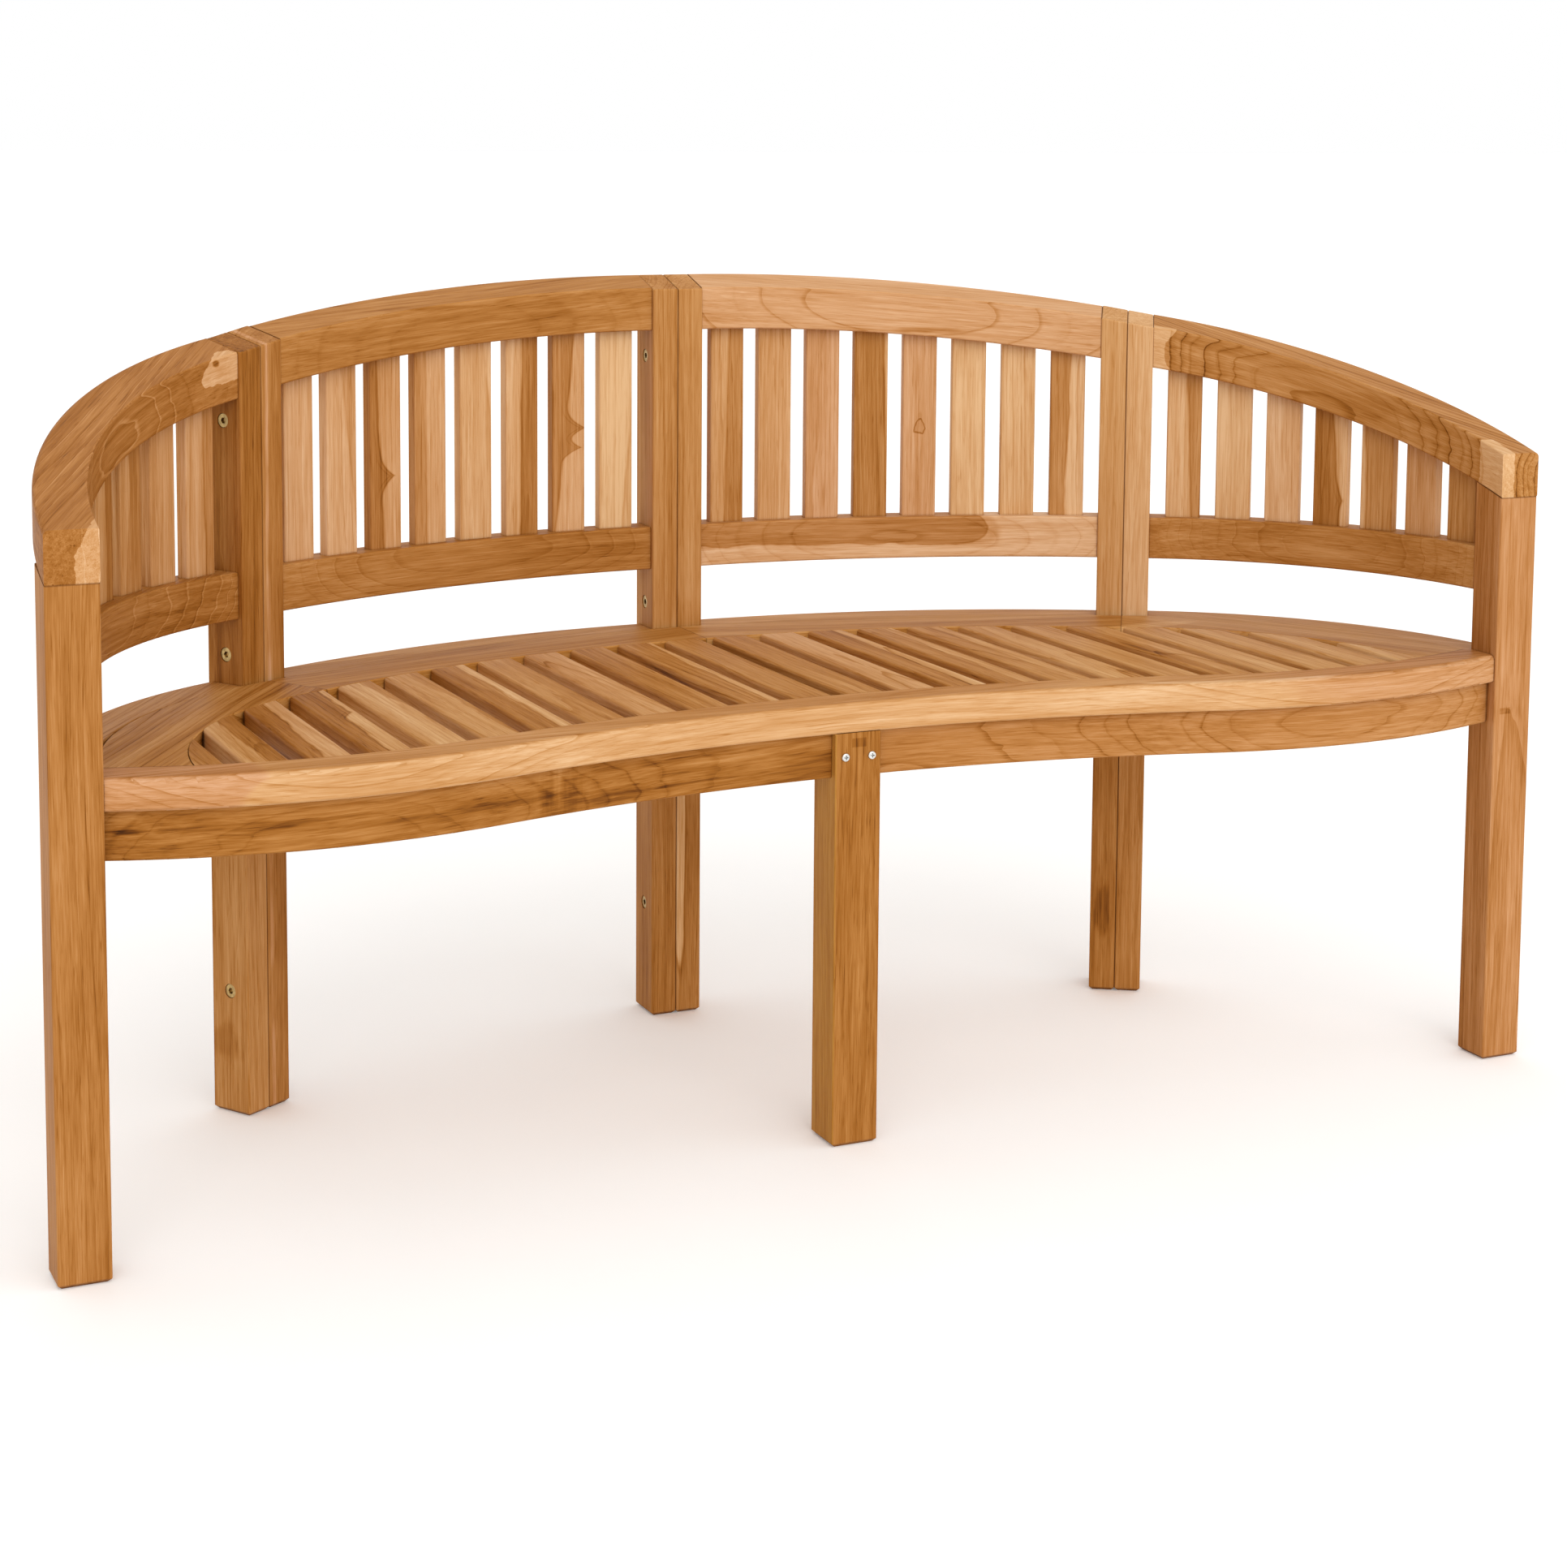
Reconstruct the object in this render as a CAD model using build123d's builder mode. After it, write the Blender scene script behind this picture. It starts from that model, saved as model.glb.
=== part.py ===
# Curved garden bench in solid hardwood.
# Four curved back panels stand on paired posts that are bolted back to back,
# a waisted slatted seat frame rests between them on ledgers, and a curved
# apron with a middle leg carries the front edge.
# Units are millimetres.  X runs along the bench, Y points to the back, Z is up.
# The origin lies on the floor at the centre of the bench's outline.
import os
from math import atan2, cos, degrees, hypot, radians, sin, sqrt

from build123d import *

os.makedirs("parts", exist_ok=True)

# ---------------------------------------------------------------- dimensions
# paired back posts
POST_W = 30.0            # one post, along the panel
POST_D = 50.0            # post, front to back
MID_Y = 245.0            # front face of the middle pair
SEAM_X, SEAM_Y = 509.5, 117.0   # front of the joint between the side pairs
SEAM_ANG = 32.0          # turn of the side pairs about the vertical
# front posts and middle leg
FRONT_X = 750.0          # inner face of a front post
FRONT_W, FRONT_D = 48.0, 44.0
FRONT_Y = -263.0         # front face of a front post
LEG_W, LEG_D, LEG_Y = 50.0, 50.0, -220.5
FOOT_CHAMFER = 4.0
# plan arcs of the back
ARC_C = (30.0, -711.0)   # centre of the two middle panels' curve (right side)
ARC_S = (342.0, -255.0)  # centre of the side panels' curve (right side)
# top rails: a band between two parallel sloping planes, highest at the back
RIM_Z, RIM_K, RIM_H = 756.1, 0.32, 48.0
TOP_R_C = (960.0, 1006.0)
TOP_R_S = (408.0, 456.0)
CREST_R = 5.0            # rounding of the upper rear edge
# lower back rails
LOW_Z, LOW_H = 518.0, 48.0
LOW_R_C = (962.0, 1000.0)
LOW_R_S = (411.0, 449.0)
# rails of the back panels at seat level
SILL_Z, SILL_H = 402.0, 48.0
SILL_R_C = (953.0, 998.0)
SILL_R_S = (406.0, 451.0)
# back slats
SLAT_W, SLAT_T, SLAT_IN = 40.0, 14.0, 12.0
SLATS_C, SLATS_S = 8, 7
SLAT_R_C, SLAT_R_S = 981.0, 431.0
# seat frame
SEAT_Z, SEAT_H = 422.0, 30.0
SEAT_TOP = SEAT_Z + SEAT_H
SEAT_R_C = (872.0, 951.0)
EDGE_C, EDGE_RC = (0.0, -1649.0), 1428.0     # hollow middle of the front edge
EDGE_O, EDGE_RO = (545.0, 321.0), 616.0      # full curves left and right of it
EDGE_W = 43.0                                # width of the front rail
# seat slats
SEAT_N, SEAT_PITCH, SEAT_SLAT_W, SEAT_SLAT_T = 24, 57.4, 42.0, 22.0
TONGUE_Z, TONGUE_H, TONGUE_L, TONGUE_W = 437.0, 10.0, 10.0, 34.0
# apron, bearer and ledgers
APRON_Z, APRON_H, APRON_T, APRON_BACK = 376.0, 46.0, 20.0, 10.0
BEARER_W, BEARER_H = 44.0, 42.0
LEDGE_W, LEDGE_H = 24.0, 20.0
# joints
TENON_T, TENON_L = 16.0, 20.0
FIT = 0.15               # clearance around tenons
EASE = 2.0               # eased edges
# fasteners
BOLT_Z_SIDE = (719.0, 480.0, 129.0)
BOLT_Z_MID = (759.0, 478.0, 128.0)
BOLT_R, BOLT_HEAD_R, SINK_R, SINK_D = 4.0, 7.0, 7.5, 5.0
SLEEVE_R, SLEEVE_L = 5.0, 18.0
LEG_SCREW_X, LEG_SCREW_Z = 14.5, 398.0
LEG_SCREW_HEAD, LEG_SCREW_RISE = 4.2, 2.2
DOWEL_R, DOWEL_L = 5.0, 50.0

T = (cos(radians(SEAM_ANG)), -sin(radians(SEAM_ANG)))   # along the side pair
N = (sin(radians(SEAM_ANG)), cos(radians(SEAM_ANG)))    # front to back there
SEAM = (SEAM_X, SEAM_Y)
IN_B = (SEAM_X - POST_W * T[0], SEAM_Y - POST_W * T[1])   # inner front corner
OUT_B = (SEAM_X + POST_W * T[0], SEAM_Y + POST_W * T[1])  # outer front corner


# ------------------------------------------------------------- plan geometry
def hit(c, r, p, d):
    """Crossing of the circle (c, r) with the line through p along d, near p."""
    ox, oy = p[0] - c[0], p[1] - c[1]
    b = ox * d[0] + oy * d[1]
    q = sqrt(b * b - (ox * ox + oy * oy - r * r))
    s = min((-b + q, -b - q), key=abs)
    return (p[0] + s * d[0], p[1] + s * d[1])


def meet(c1, r1, c2, r2):
    """Crossing of two circles, the one with the smaller y."""
    dx, dy = c2[0] - c1[0], c2[1] - c1[1]
    d = hypot(dx, dy)
    a = (r1 * r1 - r2 * r2 + d * d) / (2 * d)
    h = sqrt(r1 * r1 - a * a)
    mx, my = c1[0] + a * dx / d, c1[1] + a * dy / d
    pts = ((mx + h * dy / d, my - h * dx / d), (mx - h * dy / d, my + h * dx / d))
    return max(pts, key=lambda p: p[0])


def mid(c, p, q):
    """Point halfway along the short arc from p to q about c."""
    r = hypot(p[0] - c[0], p[1] - c[1])
    ux = (p[0] - c[0]) + (q[0] - c[0])
    uy = (p[1] - c[1]) + (q[1] - c[1])
    k = r / hypot(ux, uy)
    return (c[0] + ux * k, c[1] + uy * k)


def arc(c, p, q):
    return ThreePointArc(p, mid(c, p, q), q)


def strip(c, radii, a, b):
    """Face of a bent strip about c, ended by the lines a and b."""
    a0, a1 = hit(c, radii[0], *a), hit(c, radii[1], *a)
    b0, b1 = hit(c, radii[0], *b), hit(c, radii[1], *b)
    with BuildLine() as outline:
        arc(c, a0, b0)
        Line(b0, b1)
        arc(c, b1, a1)
        Line(a1, a0)
    make_face(outline.edges())


def dist(p, q):
    return hypot(p[0] - q[0], p[1] - q[1])


def rim(y):
    return RIM_Z + RIM_K * y


def side_plane(p, n, z):
    """Plane on an upright joint face at p, facing along n."""
    return Plane(origin=(p[0], p[1], z), x_dir=(-n[1], n[0], 0), z_dir=(n[0], n[1], 0))


# end lines of the rails, each a point and a direction
AT_MID = ((POST_W, MID_Y + 25), (0, 1))
AT_IN = ((IN_B[0] + 25 * N[0], IN_B[1] + 25 * N[1]), N)
AT_OUT = ((OUT_B[0] + 25 * N[0], OUT_B[1] + 25 * N[1]), N)
AT_FRONT = ((FRONT_X + 24, FRONT_Y + FRONT_D), (1, 0))
SEAM_LINE = ((SEAM[0] - 40 * N[0], SEAM[1] - 40 * N[1]), N)

# seat frame radii on the side, matched to the middle ones at the seam
SEAT_IN_B = hit(ARC_C, SEAT_R_C[0], *SEAM_LINE)
SEAT_OUT_B = hit(ARC_C, SEAT_R_C[1], *SEAM_LINE)
SEAT_R_S = (dist(ARC_S, SEAT_IN_B), dist(ARC_S, SEAT_OUT_B))


def edge_points(e):
    """Turning points of the front edge, moved back by e from its face."""
    rc, ro = EDGE_RC + e, EDGE_RO - e
    k = rc / dist(EDGE_C, EDGE_O)
    turn = (EDGE_C[0] + (EDGE_O[0] - EDGE_C[0]) * k, EDGE_C[1] + (EDGE_O[1] - EDGE_C[1]) * k)
    return rc, ro, turn


def edge_at(x, e):
    """y of the front edge at x, moved back by e from its face."""
    rc, ro, turn = edge_points(e)
    if abs(x) <= turn[0]:
        return EDGE_C[1] + sqrt(rc * rc - x * x)
    return EDGE_O[1] - sqrt(ro * ro - (abs(x) - EDGE_O[0]) ** 2)


def edge_run(x0, x1, e):
    """Front edge from x0 to x1 (x0 < x1) as joined arcs, moved back by e."""
    rc, ro, turn = edge_points(e)
    left_o = (-EDGE_O[0], EDGE_O[1])
    stops = [x for x in (-turn[0], turn[0]) if x0 < x < x1]
    xs = [x0] + stops + [x1]
    for a, b in zip(xs, xs[1:]):
        m = (a + b) / 2
        c = EDGE_C if abs(m) < turn[0] else (EDGE_O if m > 0 else left_o)
        arc(c, (a, edge_at(a, e)), (b, edge_at(b, e)))


def edge_band(x0, x1, e0, e1):
    """Face between two lines of the front edge."""
    with BuildLine() as outline:
        edge_run(x0, x1, e0)
        edge_run(x0, x1, e1)
        Line((x0, edge_at(x0, e0)), (x0, edge_at(x0, e1)))
        Line((x1, edge_at(x1, e0)), (x1, edge_at(x1, e1)))
    make_face(outline.edges())


def opening(e):
    """Face of the slatted field, grown by e all round."""
    rs, rc = SEAT_R_S[0] + e, SEAT_R_C[0] + e
    _, ro, _ = edge_points(EDGE_W - e)
    tip = meet(ARC_S, rs, EDGE_O, ro)
    b = hit(ARC_C, rc, *SEAM_LINE)
    bs = hit(ARC_S, rs, *SEAM_LINE)
    m = (ARC_C[0], ARC_C[1] + rc)
    mir = lambda p: (-p[0], p[1])
    with BuildLine() as outline:
        edge_run(-tip[0], tip[0], EDGE_W - e)
        arc(ARC_S, (tip[0], edge_at(tip[0], EDGE_W - e)), bs)
        if dist(bs, b) > 1e-4:
            Line(bs, b)
        arc(ARC_C, b, m)
        Line(m, mir(m))
        arc(mir(ARC_C), mir(m), mir(b))
        if dist(bs, b) > 1e-4:
            Line(mir(b), mir(bs))
        arc(mir(ARC_S), mir(bs), (-tip[0], edge_at(tip[0], EDGE_W - e)))
    make_face(outline.edges())


def slat_spots(c, r, a0, a1, count):
    """Places of evenly spaced slats along an arc, as (x, y, turn)."""
    step = (a1 - a0 - count * SLAT_W / r) / (count + 1) + SLAT_W / r
    first = a0 + step - SLAT_W / r / 2
    return [(c[0] + r * sin(first + i * step), c[1] + r * cos(first + i * step),
             -degrees(first + i * step)) for i in range(count)]


def bearing(c, p):
    return atan2(p[0] - c[0], p[1] - c[1])


SPOTS_C = slat_spots(ARC_C, SLAT_R_C, bearing(ARC_C, hit(ARC_C, SLAT_R_C, *AT_MID)),
                     bearing(ARC_C, hit(ARC_C, SLAT_R_C, *AT_IN)), SLATS_C)
SPOTS_S = slat_spots(ARC_S, SLAT_R_S, bearing(ARC_S, hit(ARC_S, SLAT_R_S, *AT_OUT)),
                     bearing(ARC_S, hit(ARC_S, SLAT_R_S, *AT_FRONT)), SLATS_S)


def rim_band(low, high):
    """Side view outline between the rim plane less low and less high."""
    y0, y1 = -420.0, 420.0
    Polygon((y0, rim(y0) - low), (y1, rim(y1) - low), (y1, rim(y1) - high), (y0, rim(y0) - high),
            align=None)


def below_rim(drop, z0):
    y0, y1 = -420.0, 420.0
    Polygon((y0, z0), (y1, z0), (y1, rim(y1) - drop), (y0, rim(y0) - drop), align=None)


# joint centres on the post faces: (point, direction into the post, height)
def on_face(c, radii, line):
    r = (radii[0] + radii[1]) / 2
    return hit(c, r, *line)


TO_MID, TO_IN = (-1.0, 0.0), T
TO_OUT, TO_FRONT = (-T[0], -T[1]), (0.0, -1.0)
J_TOP_M = on_face(ARC_C, TOP_R_C, AT_MID)
J_TOP_I = on_face(ARC_C, TOP_R_C, AT_IN)
J_TOP_O = on_face(ARC_S, TOP_R_S, AT_OUT)
J_LOW_M = on_face(ARC_C, LOW_R_C, AT_MID)
J_LOW_I = on_face(ARC_C, LOW_R_C, AT_IN)
J_LOW_O = on_face(ARC_S, LOW_R_S, AT_OUT)
J_LOW_F = on_face(ARC_S, LOW_R_S, AT_FRONT)
J_SILL_M = on_face(ARC_C, SILL_R_C, AT_MID)
J_SILL_I = on_face(ARC_C, SILL_R_C, AT_IN)
J_SILL_O = on_face(ARC_S, SILL_R_S, AT_OUT)
J_SILL_F = on_face(ARC_S, SILL_R_S, AT_FRONT)
TOP_TENON_H, RAIL_TENON_H = 26.0, 32.0


def top_z(p):
    return rim(p[1]) - RIM_H / 2


LOW_MID, SILL_MID = LOW_Z + LOW_H / 2, SILL_Z + SILL_H / 2
# at the front posts the seat-level tenon stays below the seat front rail's tenon
SILL_LOW, SILL_LOW_H = SILL_Z + 14, 18.0
APRON_LOW, APRON_LOW_H = APRON_Z + 18, 20.0   # tenon into the front post, below that of the rail behind


def tenon(p, n, z, h, length=TENON_L, t=TENON_T):
    with BuildSketch(side_plane(p, n, z).offset(-4)) as section:
        Rectangle(t, h)
    extrude(section.sketch, amount=length + 4)


def mortise(p, n, z, h, length=TENON_L, t=TENON_T):
    with BuildSketch(side_plane(p, n, z)) as section:
        Rectangle(t + 2 * FIT, h + 2 * FIT)
    extrude(section.sketch, amount=length + 1, mode=Mode.SUBTRACT)


# bolt axes: (point on the head-side face, direction towards the nut)
def bolt_axis(p, n, back, z):
    return side_plane((p[0] + 25 * back[0], p[1] + 25 * back[1]), n, z)


BOLTS_MID = [bolt_axis((-POST_W, MID_Y), (1.0, 0.0), (0, 1), z) for z in BOLT_Z_MID]
BOLTS_RIGHT = [bolt_axis(OUT_B, TO_OUT, N, z) for z in BOLT_Z_SIDE]


def head_side(planes):
    for p in planes:
        with BuildSketch(p) as sink:
            Circle(SINK_R)
        extrude(sink.sketch, amount=SINK_D, mode=Mode.SUBTRACT)
        with BuildSketch(p) as hole:
            Circle(BOLT_R + 0.2)
        extrude(hole.sketch, amount=POST_W + 2, mode=Mode.SUBTRACT)


def nut_side(planes):
    for p in planes:
        with BuildSketch(p.offset(POST_W - 2)) as hole:
            Circle(SLEEVE_R + 0.15)
        extrude(hole.sketch, amount=POST_W + 4, mode=Mode.SUBTRACT)
        with BuildSketch(p.offset(2 * POST_W - SINK_D)) as sink:
            Circle(SINK_R)
        extrude(sink.sketch, amount=SINK_D + 1, mode=Mode.SUBTRACT)


# ------------------------------------------------------- pockets and cutters
with BuildPart() as pockets_c:
    with BuildSketch(Plane.XY.offset(LOW_Z + LOW_H - SLAT_IN - 1)):
        for x, y, a in SPOTS_C:
            with Locations(Location((x, y, 0), (0, 0, a))):
                Rectangle(SLAT_W + 2 * FIT, SLAT_T + 2 * FIT)
    extrude(amount=400)
    with BuildSketch(Plane.YZ):
        below_rim(RIM_H - SLAT_IN - 1, 0)
    extrude(amount=900, both=True, mode=Mode.INTERSECT)

with BuildPart() as pockets_s:
    with BuildSketch(Plane.XY.offset(LOW_Z + LOW_H - SLAT_IN - 1)):
        for x, y, a in SPOTS_S:
            with Locations(Location((x, y, 0), (0, 0, a))):
                Rectangle(SLAT_W + 2 * FIT, SLAT_T + 2 * FIT)
    extrude(amount=400)
    with BuildSketch(Plane.YZ):
        below_rim(RIM_H - SLAT_IN - 1, 0)
    extrude(amount=900, both=True, mode=Mode.INTERSECT)

with BuildPart() as tongue_pockets:
    with BuildSketch(Plane.XY.offset(TONGUE_Z - FIT)):
        with GridLocations(SEAT_PITCH, 0, SEAT_N, 1):
            Rectangle(TONGUE_W + 2 * FIT, 800)
    extrude(amount=TONGUE_H + 2 * FIT)
    with BuildSketch(Plane.XY.offset(TONGUE_Z - 5)):
        opening(TONGUE_L + 0.5)
    extrude(amount=TONGUE_H + 10, mode=Mode.INTERSECT)

with BuildPart() as front_zone:
    with BuildSketch(Plane.XY.offset(SEAT_Z - 5)):
        edge_band(-780, 780, -60, EDGE_W + 0.2)
    extrude(amount=SEAT_H + 10)

# dowels of the seat frame: axis planes at the middle of each dowel
DOWEL_Z = SEAT_Z + SEAT_H / 2
DOWEL_MID = [Plane(origin=(0, y, DOWEL_Z), x_dir=(0, 1, 0), z_dir=(1, 0, 0)) for y in (178, 222)]
DOWEL_RIGHT = [Plane(origin=(SEAM[0] - d * N[0], SEAM[1] - d * N[1], DOWEL_Z), x_dir=(N[0], N[1], 0),
                     z_dir=(T[0], T[1], 0)) for d in (26, 64)]
DOWEL_FRONT = [Plane(origin=(x, edge_at(x, EDGE_W), DOWEL_Z), x_dir=(1, 0, 0), z_dir=(0, 1, 0))
               for x in (692, 722)]


def dowel_holes(planes):
    for p in planes:
        with BuildSketch(p) as hole:
            Circle(DOWEL_R + 0.1)
        extrude(hole.sketch, amount=DOWEL_L / 2 + 1, both=True, mode=Mode.SUBTRACT)


# ------------------------------------------------------------------- posts
with BuildPart() as post_middle_right:
    with BuildSketch():
        with Locations((POST_W / 2, MID_Y + POST_D / 2)):
            Rectangle(POST_W, POST_D)
    extrude(amount=900)
    with BuildSketch(Plane.YZ):
        below_rim(0, -10)
    extrude(amount=900, both=True, mode=Mode.INTERSECT)
    fillet(post_middle_right.faces().sort_by(Axis.Z)[-1].edges().sort_by(Axis.Y)[-1], CREST_R)
    chamfer(post_middle_right.faces().sort_by(Axis.Z)[0].edges(), FOOT_CHAMFER)
    fillet(post_middle_right.edges().filter_by(lambda e: e.center().Z > 20), EASE)
    mortise(J_TOP_M, TO_MID, top_z(J_TOP_M), TOP_TENON_H)
    mortise(J_LOW_M, TO_MID, LOW_MID, RAIL_TENON_H)
    mortise(J_SILL_M, TO_MID, SILL_MID, RAIL_TENON_H)
    nut_side(BOLTS_MID)
    with BuildSketch(Plane.XZ.offset(-MID_Y)):
        with Locations((0, SEAT_Z - BEARER_H / 2)):
            Rectangle(20 + 2 * FIT, 26 + 2 * FIT)
    extrude(amount=-16, mode=Mode.SUBTRACT)
post_middle_right.part.label = "post_middle_right"

with BuildPart() as post_middle_left:
    with BuildSketch():
        with Locations((-POST_W / 2, MID_Y + POST_D / 2)):
            Rectangle(POST_W, POST_D)
    extrude(amount=900)
    with BuildSketch(Plane.YZ):
        below_rim(0, -10)
    extrude(amount=900, both=True, mode=Mode.INTERSECT)
    fillet(post_middle_left.faces().sort_by(Axis.Z)[-1].edges().sort_by(Axis.Y)[-1], CREST_R)
    chamfer(post_middle_left.faces().sort_by(Axis.Z)[0].edges(), FOOT_CHAMFER)
    fillet(post_middle_left.edges().filter_by(lambda e: e.center().Z > 20), EASE)
    for p, z, h in ((J_TOP_M, top_z(J_TOP_M), TOP_TENON_H), (J_LOW_M, LOW_MID, RAIL_TENON_H),
                    (J_SILL_M, SILL_MID, RAIL_TENON_H)):
        mortise((-p[0], p[1]), (1.0, 0.0), z, h)
    head_side(BOLTS_MID)
    with BuildSketch(Plane.XZ.offset(-MID_Y)):
        with Locations((0, SEAT_Z - BEARER_H / 2)):
            Rectangle(20 + 2 * FIT, 26 + 2 * FIT)
    extrude(amount=-16, mode=Mode.SUBTRACT)
post_middle_left.part.label = "post_middle_left"

with BuildPart() as post_right_inner:
    with BuildSketch(Plane(origin=(SEAM[0], SEAM[1], 0), x_dir=(T[0], T[1], 0), z_dir=(0, 0, 1))):
        with Locations((-POST_W / 2, POST_D / 2)):
            Rectangle(POST_W, POST_D)
    extrude(amount=900)
    with BuildSketch(Plane.YZ):
        below_rim(0, -10)
    extrude(amount=900, both=True, mode=Mode.INTERSECT)
    fillet(post_right_inner.faces().sort_by(Axis.Z)[-1].edges().sort_by(
        Axis((0, 0, 0), (N[0], N[1], 0)))[-1], CREST_R)
    chamfer(post_right_inner.faces().sort_by(Axis.Z)[0].edges(), FOOT_CHAMFER)
    fillet(post_right_inner.edges().filter_by(lambda e: e.center().Z > 20), EASE)
    mortise(J_TOP_I, TO_IN, top_z(J_TOP_I), TOP_TENON_H)
    mortise(J_LOW_I, TO_IN, LOW_MID, RAIL_TENON_H)
    mortise(J_SILL_I, TO_IN, SILL_MID, RAIL_TENON_H)
    nut_side(BOLTS_RIGHT)
post_right_inner.part.label = "post_right_inner"

with BuildPart() as post_right_outer:
    with BuildSketch(Plane(origin=(SEAM[0], SEAM[1], 0), x_dir=(T[0], T[1], 0), z_dir=(0, 0, 1))):
        with Locations((POST_W / 2, POST_D / 2)):
            Rectangle(POST_W, POST_D)
    extrude(amount=900)
    with BuildSketch(Plane.YZ):
        below_rim(0, -10)
    extrude(amount=900, both=True, mode=Mode.INTERSECT)
    fillet(post_right_outer.faces().sort_by(Axis.Z)[-1].edges().sort_by(
        Axis((0, 0, 0), (N[0], N[1], 0)))[-1], CREST_R)
    chamfer(post_right_outer.faces().sort_by(Axis.Z)[0].edges(), FOOT_CHAMFER)
    fillet(post_right_outer.edges().filter_by(lambda e: e.center().Z > 20), EASE)
    mortise(J_TOP_O, TO_OUT, top_z(J_TOP_O), TOP_TENON_H)
    mortise(J_LOW_O, TO_OUT, LOW_MID, RAIL_TENON_H)
    mortise(J_SILL_O, TO_OUT, SILL_MID, RAIL_TENON_H)
    head_side(BOLTS_RIGHT)
post_right_outer.part.label = "post_right_outer"

EDGE_END_Y = edge_at(FRONT_X, EDGE_W / 2)
APRON_END_Y = edge_at(FRONT_X, APRON_BACK + APRON_T / 2)
CAP_TENON = (24.0, 20.0, 26.0)
CAP_X, CAP_Y = FRONT_X + FRONT_W / 2, FRONT_Y + FRONT_D / 2

with BuildPart() as post_front_right:
    with BuildSketch():
        with Locations((CAP_X, CAP_Y)):
            Rectangle(FRONT_W, FRONT_D)
    extrude(amount=900)
    with BuildSketch(Plane.YZ):
        below_rim(RIM_H, -10)
    extrude(amount=900, both=True, mode=Mode.INTERSECT)
    chamfer(post_front_right.faces().sort_by(Axis.Z)[0].edges(), FOOT_CHAMFER)
    fillet(post_front_right.edges().filter_by(Axis.Z), EASE)
    with BuildSketch(Plane.XY.offset(600)):
        with Locations((CAP_X, CAP_Y)):
            Rectangle(CAP_TENON[0], CAP_TENON[1])
    extrude(amount=rim(CAP_Y) - RIM_H + CAP_TENON[2] - 600)
    mortise(J_LOW_F, TO_FRONT, LOW_MID, RAIL_TENON_H, 24)
    mortise(J_SILL_F, TO_FRONT, SILL_LOW, SILL_LOW_H, 16)
    mortise((FRONT_X, EDGE_END_Y), (1.0, 0.0), SEAT_Z + SEAT_H / 2, 16, 22)
    mortise((FRONT_X, APRON_END_Y), (1.0, 0.0), APRON_LOW, APRON_LOW_H, 22, 10)
post_front_right.part.label = "post_front_right"

with BuildPart() as leg_front_middle:
    with BuildSketch():
        with Locations((0, LEG_Y + LEG_D / 2)):
            Rectangle(LEG_W, LEG_D)
    extrude(amount=SEAT_Z)
    chamfer(leg_front_middle.faces().sort_by(Axis.Z)[0].edges(), FOOT_CHAMFER)
    fillet(leg_front_middle.edges().filter_by(Axis.Z), EASE)
    with BuildSketch(Plane.XY.offset(SEAT_Z - 4)):
        with Locations((0, edge_at(0, EDGE_W / 2))):
            Rectangle(24, 16)
    extrude(amount=4 + 18)
    for s in (1, -1):
        x, n = s * LEG_W / 2, (-float(s), 0.0)
        mortise((x, edge_at(LEG_W / 2, APRON_BACK + APRON_T / 2)), n, APRON_Z + APRON_H / 2, 28, 7, 10)
    with BuildSketch(Plane.XZ.offset(-LEG_Y)):
        with Locations((-LEG_SCREW_X, LEG_SCREW_Z), (LEG_SCREW_X, LEG_SCREW_Z)):
            Circle(2.7)
    extrude(amount=-LEG_D, mode=Mode.SUBTRACT)
leg_front_middle.part.label = "leg_front_middle"

# --------------------------------------------------------------- back panels
with BuildPart() as top_rail_right_centre:
    with BuildSketch(Plane.XY.offset(500)):
        strip(ARC_C, TOP_R_C, AT_MID, AT_IN)
    extrude(amount=500)
    with BuildSketch(Plane.YZ):
        rim_band(0, RIM_H)
    extrude(amount=900, both=True, mode=Mode.INTERSECT)
    up = top_rail_right_centre.faces().filter_by(GeomType.PLANE).filter_by(
        lambda f: abs(f.normal_at().Z) > 0.9)
    curved = up.edges().filter_by(lambda e: e.geom_type != GeomType.LINE)
    rear_top = curved.sort_by(Axis.Z)[-1]
    fillet([e for e in curved if (e.center() - rear_top.center()).length > 1e-3], EASE)
    rear = top_rail_right_centre.edges().filter_by(lambda e: (e.center() - rear_top.center()).length < 2)
    fillet(rear, CREST_R)
    tenon(J_TOP_M, TO_MID, top_z(J_TOP_M), TOP_TENON_H)
    tenon(J_TOP_I, TO_IN, top_z(J_TOP_I), TOP_TENON_H)
    add(pockets_c.part, mode=Mode.SUBTRACT)
top_rail_right_centre.part.label = "top_rail_right_centre"

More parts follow.
